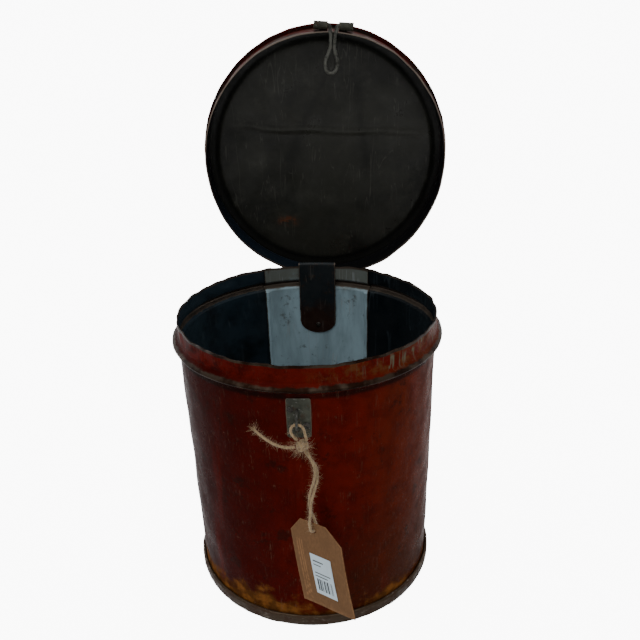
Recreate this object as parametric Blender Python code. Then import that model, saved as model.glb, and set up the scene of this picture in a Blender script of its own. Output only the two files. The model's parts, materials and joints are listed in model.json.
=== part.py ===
"""Sheet-metal storage tin with a rear-hinged slip lid, a wire hasp and a swing tag.

Metres, +Z up, +Y towards the hinge at the rear. The origin is the middle of the underside.
The lid is modelled shut, in place over the neck, and is then opened about its hinge.
"""
import math

import bmesh
import bpy
import numpy as np
from mathutils import Matrix, Vector

MM = 0.001

# Driving sizes.
NECK_R = 120 * MM
RIM_Z = 282 * MM
SHEET = 1.0 * MM
GAP = 0.4 * MM
FULL_TURN_STEPS = 72

# Rolled bead under the neck.
BEAD_Z = 261 * MM
BEAD_HALF = 5.5 * MM
BEAD_BULGE = 6 * MM

# Body seams: the back panel laps inside the ends of the front sheet.
FRONT_SHEET_FROM = math.radians(24)
BACK_PANEL_HALF = math.radians(28)
LAP_STEP = SHEET + GAP

# Bottom pan.
PAN_R = NECK_R + 4 * MM
PAN_SEAM_INNER_R = NECK_R + GAP
PAN_SEAM_TOP = 12 * MM

# Lid, measured shut.
LID_INNER_R = NECK_R + 2.2 * MM
LID_OUTER_R = LID_INNER_R + SHEET
LID_MOUTH_Z = 267.5 * MM
LID_DEPTH = 29 * MM
LID_SEAM_R = LID_OUTER_R + 4.2 * MM
LID_SEAM_DROP = 5 * MM
LID_OPEN = math.radians(86)

# Hinge at the rear.
HINGE_Y = NECK_R + 10.5 * MM
HINGE_Z = BEAD_Z - 10 * MM
HINGE_TILT = math.radians(-4.9)  # the pin slopes down to the right, so the open lid leans
PIN_R = 1.5 * MM
KNUCKLE_MID_R = PIN_R + 0.3 * MM + SHEET / 2
STRAP_HALF = 19.5 * MM
STRAP_FOOT_Z = 203 * MM
LID_STRAP_HALF = 15 * MM
TONGUE_HALF = 7 * MM
FINGER_INNER = 7.7 * MM

# Hasp.
HASP_WIRE_R = 1.65 * MM
HASP_Y = -(NECK_R + 8.9 * MM)
HASP_Z = LID_MOUTH_Z - 2.2 * MM
HASP_REACH = 41.2 * MM
HASP_EYE_MIDDLE = 32.4 * MM
HASP_EYE_HALF = 5.75 * MM
KEEPER_SHEET = 0.8 * MM
KEEPER_MID_R = HASP_WIRE_R + 0.3 * MM + KEEPER_SHEET / 2
KEEPER_X = 12 * MM
KEEPER_HALF = 6.5 * MM

# Staple and its plate.
STAPLE_X = 2.6 * MM
STAPLE_WIRE_R = 1.1 * MM
STAPLE_TOP_Z = 242 * MM
STAPLE_LOW_Z = 228 * MM
STAPLE_Y = -(NECK_R + 11 * MM)
PLATE_LOW_Z = 216 * MM
PLATE_TOP_Z = 253 * MM
PLATE_X = 3.3 * MM
PLATE_HALF = 10.2 * MM

# Rivets.
RIVET_R = 1.3 * MM
RIVET_HEAD_R = 2.8 * MM
RIVET_HEAD_H = 1.3 * MM
HOLE_CLEARANCE = 0.3 * MM

# Twine and tag.
TWINE_R = 1.2 * MM
KNOT_CENTRE = Vector((6.2, -128.7, 213.2)) * MM
KNOT_R = 6 * MM
TAG_WIDTH = 60 * MM
TAG_LENGTH = 90 * MM
TAG_CUT_X = 15 * MM
TAG_CUT_Z = 15 * MM
TAG_THICK = 0.8 * MM
TAG_HOLE_R = 2.4 * MM
TAG_HOLE_DOWN = 8 * MM
TAG_HOLE = Vector((15, -144.9, 137.8)) * MM
TAG_YAW = math.radians(38)
TAG_LEAN = math.radians(11)
LABEL_THICK = 0.3 * MM
LABEL_LOW = (-10 * MM, -67 * MM)
LABEL_HIGH = (14.6 * MM, -25 * MM)
STRAND_OFFSET = 1.5 * MM
STRAND_U_R = 3.6 * MM

HINGE = Vector((0, HINGE_Y, HINGE_Z))
HASP = Vector((0, HASP_Y, HASP_Z))
TAG_PIVOT = Vector((STAPLE_X, STAPLE_Y + 3 * MM, STAPLE_LOW_Z))
HINGE_AXIS = Vector((math.cos(HINGE_TILT), 0, math.sin(HINGE_TILT)))
OPENING = (Matrix.Translation(HINGE) @ Matrix.Rotation(-LID_OPEN, 4, HINGE_AXIS)
           @ Matrix.Translation(-HINGE))

# Colours: red, green, blue, roughness, metallic.
FINISHES = {
    "worn_red_paint": (0.20, 0.030, 0.014, 0.5, 0.3),
    "blue_grey_paint": (0.16, 0.21, 0.25, 0.5, 0.2),
    "dark_sheet": (0.035, 0.035, 0.030, 0.45, 0.6),
    "bare_steel": (0.20, 0.18, 0.16, 0.4, 1.0),
    "grey_green_sheet": (0.14, 0.15, 0.12, 0.6, 0.4),
    "iron_wire": (0.10, 0.09, 0.075, 0.5, 1.0),
    "jute": (0.45, 0.36, 0.24, 0.95, 0.0),
    "kraft": (0.25, 0.15, 0.07, 0.9, 0.0),
    "white_paper": (0.60, 0.66, 0.70, 0.8, 0.0),
}


def clear_scene():
    for thing in list(bpy.data.objects):
        bpy.data.objects.remove(thing, do_unlink=True)


def material(name):
    found = bpy.data.materials.get(name)
    if found:
        return found
    red, green, blue, roughness, metallic = FINISHES[name]
    made = bpy.data.materials.new(name)
    made.use_nodes = True
    shader = made.node_tree.nodes["Principled BSDF"]
    shader.inputs["Base Color"].default_value = (red, green, blue, 1)
    shader.inputs["Roughness"].default_value = roughness
    shader.inputs["Metallic"].default_value = metallic
    return made


def add_piece(name, points, faces, finish, axis_point=Vector((0, 0, 0)), moved=None):
    """A named object whose origin is axis_point, with its points moved first by a matrix if given."""
    mesh = bpy.data.meshes.new(name)
    placed = [Vector(p) for p in points]
    if moved is not None:
        placed = [moved @ p for p in placed]
    mesh.from_pydata([p - axis_point for p in placed], [], faces)
    work = bmesh.new()
    work.from_mesh(mesh)
    bmesh.ops.recalc_face_normals(work, faces=work.faces)
    work.to_mesh(mesh)
    work.free()
    mesh.shade_smooth()
    mesh.set_sharp_from_angle(angle=math.radians(35))
    piece = bpy.data.objects.new(name, mesh)
    piece.location = axis_point
    bpy.context.collection.objects.link(piece)
    mesh.materials.append(material(finish))
    return piece


def arc(centre, radius, start_deg, end_deg, steps):
    """Points along an arc, angles from +first axis towards +second axis, both ends included."""
    angles = np.radians(np.linspace(start_deg, end_deg, steps + 1))
    return [(centre[0] + radius * math.cos(a), centre[1] + radius * math.sin(a)) for a in angles]


def loft(rings, capped, joined):
    """Points and faces that skin closed rings of equal length in order, capped or joined end to end."""
    count = len(rings[0])
    points = [p for ring in rings for p in ring]
    faces = []
    last = len(rings) if joined else len(rings) - 1
    for i in range(last):
        a, b = i * count, ((i + 1) % len(rings)) * count
        faces += [(a + k, a + (k + 1) % count, b + (k + 1) % count, b + k) for k in range(count)]
    if capped:
        faces.append(tuple(range(count)))
        end = (len(rings) - 1) * count
        faces.append(tuple(end + k for k in range(count)))
    return points, faces


def turned(profile, start=0.0, end=2 * math.pi):
    """The closed profile of (radius, height) swept about Z. Angles are from +Y towards +X."""
    whole = end - start > 2 * math.pi - 0.001
    steps = max(2, round((end - start) / (2 * math.pi) * FULL_TURN_STEPS))
    angles = [start + (end - start) * i / steps for i in range(steps if whole else steps + 1)]
    rings = [[(r * math.sin(a), r * math.cos(a), z) for r, z in profile] for a in angles]
    return loft(rings, capped=not whole, joined=whole)


def solid_of_revolution(profile):
    """A solid whose open profile of (radius, height) begins and ends on the axis, about Z."""
    inner = profile[1:-1]
    angles = [2 * math.pi * i / FULL_TURN_STEPS for i in range(FULL_TURN_STEPS)]
    points = [(r * math.sin(a), r * math.cos(a), z) for a in angles for r, z in inner]
    count, turns = len(inner), FULL_TURN_STEPS
    faces = []
    for i in range(turns):
        a, b = i * count, ((i + 1) % turns) * count
        faces += [(a + k, a + k + 1, b + k + 1, b + k) for k in range(count - 1)]
    for height, ring in ((profile[0][1], 0), (profile[-1][1], count - 1)):
        points.append((0, 0, height))
        hub = len(points) - 1
        faces += [(i * count + ring, ((i + 1) % turns) * count + ring, hub) for i in range(turns)]
    return points, faces


def wall_profile(low, step_in):
    """The closed section of a body wall whose outside stands step_in behind the neck's radius."""
    levels = [low, BEAD_Z - BEAD_HALF - 20 * MM]
    levels += [BEAD_Z + BEAD_HALF * k / 4 for k in range(-4, 5)]
    levels += [RIM_Z]
    outside = []
    for z in levels:
        across = min(1.0, abs(z - BEAD_Z) / BEAD_HALF)
        bulge = BEAD_BULGE * math.cos(across * math.pi / 2) ** 2
        outside.append((NECK_R - step_in + bulge, z))
    inside = [(r - SHEET, z) for r, z in reversed(outside)]
    return outside + inside


def offset_sides(path, half_thickness):
    """The closed section around an open path: out along its left side and back along its right."""
    line = np.array(path)
    along = np.gradient(line, axis=0)
    along /= np.linalg.norm(along, axis=1)[:, None]
    left = np.stack([-along[:, 1], along[:, 0]], 1) * half_thickness
    return np.concatenate([line + left, (line - left)[::-1]])


def strap(path, half_widths, thickness, side, foot_round=0.0, flat_from=None, x_middle=0.0, tilt=0.0,
          steps=8):
    """A strip bent along a path of (distance out, height), wrapped on the wall behind it.

    half_widths has one value for each point of the path. side is +1 at the rear and -1 at the
    front. foot_round is the height of the rounded end at the path's start. From the path's point
    number flat_from on the strip is straight across, and slopes sideways by the tilt."""
    section = offset_sides(path, thickness / 2)
    count = len(path)
    order = list(range(count)) + list(range(count - 1, -1, -1))
    rings = []
    for j in range(steps + 1):
        u = -math.cos(math.pi * j / steps)
        lift = foot_round * (1 - math.sqrt(max(0.0, 1 - u * u)))
        ring = []
        for (out, z), k in zip(section, order):
            x = half_widths[k] * u
            flat = 0.0 if flat_from is None else min(1.0, max(0.0, (k - flat_from + 3) / 3))
            drop = (1 - flat) * (out - math.sqrt(out * out - x * x))
            rise = lift * max(0.0, 1 - k / 3)
            slope = flat * x * math.tan(tilt)
            ring.append((x_middle + x, side * (out - drop), z + rise + slope))
        rings.append(ring)
    return loft(rings, capped=True, joined=False)


def tube(line, radius, sides, closed):
    """A round wire of the given radius along a line of points, its section carried without twist."""
    line = [Vector(p) for p in line]
    n = len(line)
    tangents = []
    for i in range(n):
        before = line[i - 1] if closed or i > 0 else line[i]
        after = line[(i + 1) % n] if closed or i < n - 1 else line[i]
        tangents.append((after - before).normalized())
    side = tangents[0].orthogonal().normalized()
    rings = []
    for point, along in zip(line, tangents):
        side = (side - along * side.dot(along)).normalized()
        up = along.cross(side)
        ring = []
        for k in range(sides):
            a = 2 * math.pi * k / sides
            ring.append(point + (side * math.cos(a) + up * math.sin(a)) * radius)
        rings.append(ring)
    return loft(rings, capped=not closed, joined=closed)


def smooth_line(points, spacing):
    """Points at an even spacing along a Catmull-Rom curve through the given points."""
    ends = [points[0] * 2 - points[1]] + list(points) + [points[-1] * 2 - points[-2]]
    fine = []
    for a, b, c, d in zip(ends, ends[1:], ends[2:], ends[3:]):
        for k in range(16):
            t = k / 16
            fine.append(0.5 * (2 * b + (c - a) * t + (2 * a - 5 * b + 4 * c - d) * t ** 2
                               + (3 * b - a - 3 * c + d) * t ** 3))
    fine.append(points[-1])
    lengths = [0.0]
    for a, b in zip(fine, fine[1:]):
        lengths.append(lengths[-1] + (b - a).length)
    count = max(2, round(lengths[-1] / spacing))
    wanted = [lengths[-1] * i / count for i in range(count + 1)]
    columns = [np.interp(wanted, lengths, [p[k] for p in fine]) for k in range(3)]
    return [Vector(p) for p in zip(*columns)]


def add_cord(name, line, radius):
    """A free cord: a bevelled curve of straight pieces with closed ends, its origin on the staple."""
    curve = bpy.data.curves.new(name, "CURVE")
    curve.dimensions = "3D"
    curve.bevel_depth = radius
    curve.bevel_resolution = 2
    curve.use_fill_caps = True
    spline = curve.splines.new("POLY")
    spline.points.add(len(line) - 1)
    for target, point in zip(spline.points, line):
        target.co = (*(point - TAG_PIVOT), 1)
    curve.materials.append(material("jute"))
    cord = bpy.data.objects.new(name, curve)
    cord.location = TAG_PIVOT
    bpy.context.collection.objects.link(cord)
    return cord


def drill(piece, holes):
    """Cuts round holes, given as (point, direction, radius, length), in world positions."""
    points, faces = [], []
    for point, direction, radius, length in holes:
        turn = direction.to_track_quat("Z", "Y").to_matrix()
        first = len(points)
        for end in (-length / 2, length / 2):
            for k in range(12):
                a = 2 * math.pi * k / 12
                spot = Vector((radius * math.cos(a), radius * math.sin(a), end))
                points.append(point + turn @ spot)
        faces += [(first + k, first + (k + 1) % 12, first + 12 + (k + 1) % 12, first + 12 + k)
                  for k in range(12)]
        faces.append(tuple(first + k for k in reversed(range(12))))
        faces.append(tuple(first + 12 + k for k in range(12)))
    cut(piece, add_piece(piece.name + "_holes", points, faces, "bare_steel"))


def cut(piece, cutter):
    """Takes the cutter's shape out of the piece, and leaves the cutter as a wire guide."""
    cutter.hide_render = True
    cutter.display_type = "WIRE"
    boolean = piece.modifiers.new("cut", "BOOLEAN")
    boolean.operation = "DIFFERENCE"
    boolean.object = cutter


def box_points(low, high):
    """The corners and faces of an upright box."""
    xs, ys, zs = zip(low, high)
    points = [(x, y, z) for z in zs for y in ys for x in xs]
    faces = [(0, 2, 3, 1), (4, 5, 7, 6), (0, 1, 5, 4), (2, 6, 7, 3), (0, 4, 6, 2), (1, 3, 7, 5)]
    return points, faces


def rivet(name, head_point, outward, grip, finish, axis_point=Vector((0, 0, 0)), moved=None,
          clinched=True):
    """A shank with a domed head at head_point, and a flat clinched or flush end below its grip."""
    head = [(RIVET_HEAD_R * math.cos(a), RIVET_HEAD_H * math.sin(a))
            for a in np.radians([0, 22, 45, 68])]
    profile = [(0, RIVET_HEAD_H)] + head[::-1]
    profile += [(RIVET_R, 0), (RIVET_R, -grip)]
    if clinched:
        profile += [(RIVET_HEAD_R - 0.6 * MM, -grip), (RIVET_HEAD_R - 0.6 * MM, -grip - 0.9 * MM)]
    profile += [(0, -grip - (0.9 * MM if clinched else 0))]
    sides = 16
    inner = profile[1:-1]
    turn = outward.to_track_quat("Z", "Y").to_matrix()
    points = []
    for i in range(sides):
        a = 2 * math.pi * i / sides
        for r, z in inner:
            points.append(head_point + turn @ Vector((r * math.cos(a), r * math.sin(a), z)))
    count, faces = len(inner), []
    for i in range(sides):
        a, b = i * count, ((i + 1) % sides) * count
        faces += [(a + k, a + k + 1, b + k + 1, b + k) for k in range(count - 1)]
    for k, z in ((0, profile[0][1]), (count - 1, profile[-1][1])):
        points.append(head_point + turn @ Vector((0, 0, z)))
        hub = len(points) - 1
        faces += [(i * count + k, ((i + 1) % sides) * count + k, hub) for i in range(sides)]
    return add_piece(name, points, faces, finish, axis_point, moved)


def on_wall(x, z, radius, side):
    """A point at that height on a round wall, and the outward direction there."""
    point = Vector((x, side * math.sqrt(radius * radius - x * x), z))
    return point, Vector((point.x, point.y, 0)).normalized()


# ---- can ----

def build_body():
    profile = wall_profile(SHEET + GAP, 0)
    sheet = turned(profile, FRONT_SHEET_FROM, 2 * math.pi - FRONT_SHEET_FROM)
    front = add_piece("body_front_sheet", *sheet, "worn_red_paint")
    profile = wall_profile(SHEET + GAP, LAP_STEP)
    sheet = turned(profile, -BACK_PANEL_HALF, BACK_PANEL_HALF)
    back = add_piece("body_back_panel", *sheet, "blue_grey_paint")
    return front, back


def build_bottom_pan():
    inner_seam = [(PAN_SEAM_INNER_R, SHEET), (PAN_SEAM_INNER_R, PAN_SEAM_TOP - MM)]
    roll = arc(((PAN_SEAM_INNER_R + PAN_R) / 2, PAN_SEAM_TOP - MM), (PAN_R - PAN_SEAM_INNER_R) / 2,
               180, 0, 4)[1:]
    profile = [(0, SHEET)] + inner_seam + roll + [(PAN_R, 0.8 * MM), (PAN_R - 0.8 * MM, 0), (0, 0)]
    add_piece("bottom_pan", *solid_of_revolution(profile), "bare_steel")


def body_strap_path():
    """Up the inside, over the rim, down the outside of the neck, over the bead and round the pin."""
    inside = NECK_R - LAP_STEP - SHEET - GAP - SHEET / 2
    outside = NECK_R + GAP + SHEET / 2
    over = (outside - inside) / 2
    path = [(inside, STRAP_FOOT_Z), (inside, STRAP_FOOT_Z + 8 * MM), (inside, STRAP_FOOT_Z + 20 * MM)]
    path += [(inside, BEAD_Z - 8 * MM), (inside, RIM_Z - 2 * MM)]
    path += arc(((inside + outside) / 2, RIM_Z - 0.4 * MM), over, 180, 0, 6)
    path += [(outside, RIM_Z - 6 * MM), (outside, BEAD_Z + 7.4 * MM)]
    path += [(outside + 0.8 * MM, BEAD_Z + 5.4 * MM)]
    shoulder = NECK_R + BEAD_BULGE + GAP + SHEET / 2
    path += [(shoulder - 2.6 * MM, BEAD_Z + 3.7 * MM), (shoulder, BEAD_Z + 0.6 * MM)]
    flat_from = len(path)
    path += [(shoulder + 0.9 * MM, BEAD_Z - 4 * MM)]
    path += arc((HINGE_Y, HINGE_Z), KNUCKLE_MID_R, 180, 490, 12)
    return path, flat_from


def build_hinge_body_strap():
    path, flat_from = body_strap_path()
    widths = [STRAP_HALF] * len(path)
    points, faces = strap(path, widths, SHEET, 1, STRAP_HALF * 0.8, flat_from, tilt=HINGE_TILT)
    piece = add_piece("hinge_body_strap", points, faces, "dark_sheet")
    low = (-FINGER_INNER, NECK_R + 4 * MM, HINGE_Z - 8 * MM)
    high = (FINGER_INNER, NECK_R + 20 * MM, HINGE_Z + 7 * MM)
    cut(piece, add_piece("hinge_body_strap_notch", *box_points(low, high), "dark_sheet"))
    return piece


def lid_strap_path():
    """Down the outside of the skirt, out past the bead and round the pin."""
    outside = LID_OUTER_R + GAP + SHEET / 2
    path = [(outside, LID_MOUTH_Z + 22 * MM), (outside, LID_MOUTH_Z + 14 * MM)]
    path += [(outside, LID_MOUTH_Z + 6 * MM), (outside + 1.4 * MM, LID_MOUTH_Z + 1.5 * MM)]
    path += [(outside + 4.6 * MM, LID_MOUTH_Z - 3 * MM)]
    flat_from = len(path)
    path += [(HINGE_Y + 1.2 * MM, HINGE_Z + 7.4 * MM)]
    path += arc((HINGE_Y, HINGE_Z), KNUCKLE_MID_R, 20, -230, 12)
    return path, flat_from


def build_hinge_lid_strap():
    path, flat_from = lid_strap_path()
    widths = [LID_STRAP_HALF] * (flat_from - 2) + [(LID_STRAP_HALF + TONGUE_HALF) / 2]
    widths += [TONGUE_HALF] * (len(path) - len(widths))
    points, faces = strap(path, widths, SHEET, 1, 0.0, flat_from, tilt=HINGE_TILT)
    return add_piece("hinge_lid_strap", points, faces, "dark_sheet", HINGE, OPENING)


def build_hinge_pin():
    half = STRAP_HALF + 1.5 * MM
    line = [HINGE - HINGE_AXIS * half, HINGE + HINGE_AXIS * half]
    add_piece("hinge_pin", *tube(line, PIN_R, 16, False), "bare_steel")


# ---- lid, modelled shut and then opened ----

def build_lid():
    floor_z = LID_MOUTH_Z + LID_DEPTH
    flange_r = LID_SEAM_R - SHEET - GAP
    skirt = [(LID_INNER_R, LID_MOUTH_Z), (LID_OUTER_R, LID_MOUTH_Z)]
    skirt += [(LID_OUTER_R, floor_z - SHEET - 2 * MM), (LID_OUTER_R + MM, floor_z - SHEET - 0.6 * MM)]
    skirt += [(flange_r, floor_z - SHEET), (flange_r, floor_z)]
    skirt += [(LID_OUTER_R, floor_z), (LID_INNER_R, floor_z - 2 * MM)]
    skirt = add_piece("lid_skirt", *turned(skirt), "worn_red_paint", HINGE, OPENING)
    low = floor_z - LID_SEAM_DROP
    disc = [(0, floor_z + GAP), (flange_r + GAP, floor_z + GAP), (flange_r + GAP, low)]
    disc += [(LID_SEAM_R, low), (LID_SEAM_R, floor_z + GAP)]
    disc += [(LID_SEAM_R - 0.7 * MM, floor_z + GAP + SHEET), (0, floor_z + GAP + SHEET)]
    add_piece("lid_disc", *solid_of_revolution(disc), "dark_sheet", HINGE, OPENING)
    return skirt


# ---- hasp ----

def keeper_path():
    """Down the front of the skirt, out past its edge and rolled round the wire's end."""
    outside = LID_OUTER_R + GAP + KEEPER_SHEET / 2
    path = [(outside, LID_MOUTH_Z + 16 * MM), (outside, LID_MOUTH_Z + 10 * MM)]
    path += [(outside, LID_MOUTH_Z + 5 * MM), (outside + 1.8 * MM, LID_MOUTH_Z + 2.4 * MM)]
    path += arc((-HASP_Y, HASP_Z), KEEPER_MID_R, 62, -200, 12)
    return path


def build_keepers():
    pieces = []
    for side, word in ((-1, "left"), (1, "right")):
        x = side * KEEPER_X
        path = keeper_path()
        widths = [KEEPER_HALF] * len(path)
        points, faces = strap(path, widths, KEEPER_SHEET, -1, flat_from=0, x_middle=x, steps=4)
        pieces.append(add_piece("hasp_keeper_" + word, points, faces, "grey_green_sheet", HINGE,
                                OPENING))
    return pieces


def hasp_line():
    """The wire's middle line, from one end over the eye to the other, hanging from its pivot."""
    strand = 1.95 * MM
    bend = 3.0 * MM
    side = [(17.5 * MM, 0.0), (12.0 * MM, 0.0)]
    elbow_x = 6.2 * MM
    for degrees in (90, 68, 45, 22):
        a = math.radians(degrees)
        side.append((elbow_x - bend * math.cos(a), bend - bend * math.sin(a)))
    side += [(2.7 * MM, 5.5 * MM), (strand, 9.5 * MM), (strand, 14.5 * MM), (strand, 19.5 * MM)]
    half_high = HASP_REACH - HASP_EYE_MIDDLE
    for degrees in (50, 25, 0, -25, -50, -72):
        a = math.radians(degrees)
        side.append((HASP_EYE_HALF * math.cos(a) ** 0.8, HASP_EYE_MIDDLE - half_high * math.sin(a)))
    side.append((0.0, HASP_REACH))
    line = [(x, d) for x, d in side] + [(-x, d) for x, d in reversed(side[:-1])]
    pivot = OPENING @ HASP
    across = OPENING.to_3x3() @ Vector((1, 0, 0))
    hang = Vector((0, 0, -1))
    hang = (hang - across * hang.dot(across)).normalized()
    return [pivot + across * x + hang * d for x, d in line], pivot


def build_hasp_wire():
    line, pivot = hasp_line()
    add_piece("hasp_wire", *tube(line, HASP_WIRE_R, 10, False), "iron_wire", pivot)


# ---- staple ----

def build_staple_plate():
    out = NECK_R + GAP + KEEPER_SHEET / 2
    path = [(out, PLATE_LOW_Z), (out, (PLATE_LOW_Z + PLATE_TOP_Z) / 2), (out, PLATE_TOP_Z)]
    points, faces = strap(path, [PLATE_HALF] * 3, KEEPER_SHEET, -1, steps=6)
    return add_piece("staple_plate", points, faces, "grey_green_sheet",
                     moved=Matrix.Rotation(PLATE_X / NECK_R, 4, "Z"))


def build_staple():
    root = NECK_R - SHEET - 1.6 * MM
    corner = 4 * MM
    line = [(root, STAPLE_TOP_Z), (NECK_R + 3 * MM, STAPLE_TOP_Z)]
    line += arc((-STAPLE_Y - corner, STAPLE_TOP_Z - corner), corner, 90, 0, 4)
    line += arc((-STAPLE_Y - corner, STAPLE_LOW_Z + corner), corner, 0, -90, 4)
    line += [(NECK_R + 3 * MM, STAPLE_LOW_Z), (root, STAPLE_LOW_Z)]
    line = [Vector((STAPLE_X, -out, z)) for out, z in line]
    add_piece("staple", *tube(line, STAPLE_WIRE_R, 10, False), "iron_wire")


# ---- twine and tag ----

def tag_axes():
    """The card's right, down and facing directions."""
    right = Vector((math.cos(TAG_YAW) * math.cos(TAG_LEAN), -math.sin(TAG_YAW) * math.cos(TAG_LEAN),
                    math.sin(TAG_LEAN)))
    facing = Vector((-math.sin(TAG_YAW), -math.cos(TAG_YAW), 0))
    down = right.cross(facing)
    if down.z > 0:
        down = -down
    return right, down, facing


def plate_on_tag(outline, low, high):
    """The outline, in the card's (right, up from the hole) plane, made thick between two levels."""
    right, down, facing = tag_axes()
    rings = [[TAG_HOLE + right * x - down * up + facing * level for x, up in outline]
             for level in (low, high)]
    return loft(rings, capped=True, joined=False)


def build_tag():
    half, top = TAG_WIDTH / 2, TAG_HOLE_DOWN
    foot = top - TAG_LENGTH
    outline = [(-half, foot), (half, foot), (half, top - TAG_CUT_Z), (half - TAG_CUT_X, top),
               (-half + TAG_CUT_X, top), (-half, top - TAG_CUT_Z)]
    points, faces = plate_on_tag(outline, -TAG_THICK / 2, TAG_THICK / 2)
    card = add_piece("tag_card", points, faces, "kraft", TAG_PIVOT)
    drill(card, [(TAG_HOLE, tag_axes()[2], TAG_HOLE_R, 6 * MM)])
    (x0, z0), (x1, z1) = LABEL_LOW, LABEL_HIGH
    outline = [(x0, z0), (x1, z0), (x1, z1), (x0, z1)]
    front = TAG_THICK / 2 + 0.3 * MM
    points, faces = plate_on_tag(outline, front, front + LABEL_THICK)
    add_piece("tag_label", points, faces, "white_paper", TAG_PIVOT)


def build_knot():
    """A lump whose radius swells and shrinks with its two angles, closed at both poles."""
    rows, sides = 8, 14
    points = [KNOT_CENTRE + Vector((0, 0, KNOT_R))]
    for i in range(1, rows):
        a = math.pi * i / rows
        for k in range(sides):
            b = 2 * math.pi * k / sides
            reach = KNOT_R * (1 - 0.04 * (1 + math.sin(3 * b + 2 * a)))
            points.append(KNOT_CENTRE + reach * Vector((math.sin(a) * math.cos(b),
                                                        math.sin(a) * math.sin(b), math.cos(a))))
    points.append(KNOT_CENTRE - Vector((0, 0, KNOT_R)))
    faces = [(0, 1 + k, 1 + (k + 1) % sides) for k in range(sides)]
    for i in range(rows - 2):
        a = 1 + i * sides
        faces += [(a + k, a + sides + k, a + sides + (k + 1) % sides, a + (k + 1) % sides)
                  for k in range(sides)]
    a, end = 1 + (rows - 2) * sides, len(points) - 1
    faces += [(a + k, end, a + (k + 1) % sides) for k in range(sides)]
    add_piece("twine_knot", points, faces, "jute", TAG_PIVOT)


# Routes chosen by hand, in millimetres.
LOOP_ROUTE = [(2.3, -128.7, 218.4), (-0.9, -128.4, 221.8), (-2.8, -128.0, 225.6), (-2.3, -127.8, 229.4),
              (-0.3, -127.7, 231.6), (2.4, -127.6, 232.3), (5.1, -127.7, 231.6), (7.3, -127.8, 229.4),
              (8.5, -128.0, 225.6), (9.1, -128.4, 221.8), (10.1, -128.7, 218.4)]
TAIL_ROUTE = [(-0.1, -129.2, 211.8), (-5.0, -129.0, 211.0), (-11.0, -128.2, 211.2),
              (-17.0, -127.2, 212.9), (-23.0, -126.0, 216.0), (-28.5, -124.9, 220.0),
              (-33.5, -123.8, 224.4)]
PAIR_ROUTE = [(9.1, -129.4, 207.6), (12.6, -130.3, 201.5), (15.9, -131.4, 195.5), (17.2, -132.8, 189.0),
              (16.4, -134.6, 181.5), (14.2, -136.6, 174.0), (12.4, -138.6, 166.0),
              (12.0, -140.6, 158.0), (12.9, -142.7, 150.0), (13.7, -144.0, 145.2)]
PAIR_TURNS = 0.75


def strands_line():
    """Both halves of the doubled strand: twisted round their shared route, then a U in the hole."""
    right, down, facing = tag_axes()
    across = facing.cross(down)
    middle = smooth_line([Vector(p) * MM for p in PAIR_ROUTE], 4.5 * MM)
    one, other = [], []
    for i, point in enumerate(middle):
        s = i / (len(middle) - 1)
        opening = min(1.0, max(0.0, (s - 0.75) / 0.25))
        reach = STRAND_OFFSET + (STRAND_U_R - STRAND_OFFSET) * opening ** 2 * (3 - 2 * opening)
        twist = 2 * math.pi * PAIR_TURNS * (1 - s)
        spread = (facing * math.cos(twist) + across * math.sin(twist)) * reach
        one.append(point + spread)
        other.append(point - spread)
    centre = TAG_HOLE - down * STRAND_U_R
    bend = [centre + (facing * math.cos(a) + down * math.sin(a)) * STRAND_U_R
            for a in np.radians([0, 30, 60, 90, 120, 150, 180])]
    return one + bend + other[::-1]


def build_twine():
    loop = smooth_line([Vector(p) * MM for p in LOOP_ROUTE], 3.4 * MM)
    add_cord("twine_loop", loop, TWINE_R)
    tail = smooth_line([Vector(p) * MM for p in TAIL_ROUTE], 5 * MM)
    add_cord("twine_tail", tail, TWINE_R)
    add_cord("twine_strands", strands_line(), TWINE_R)


# ---- fasteners ----

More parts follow.
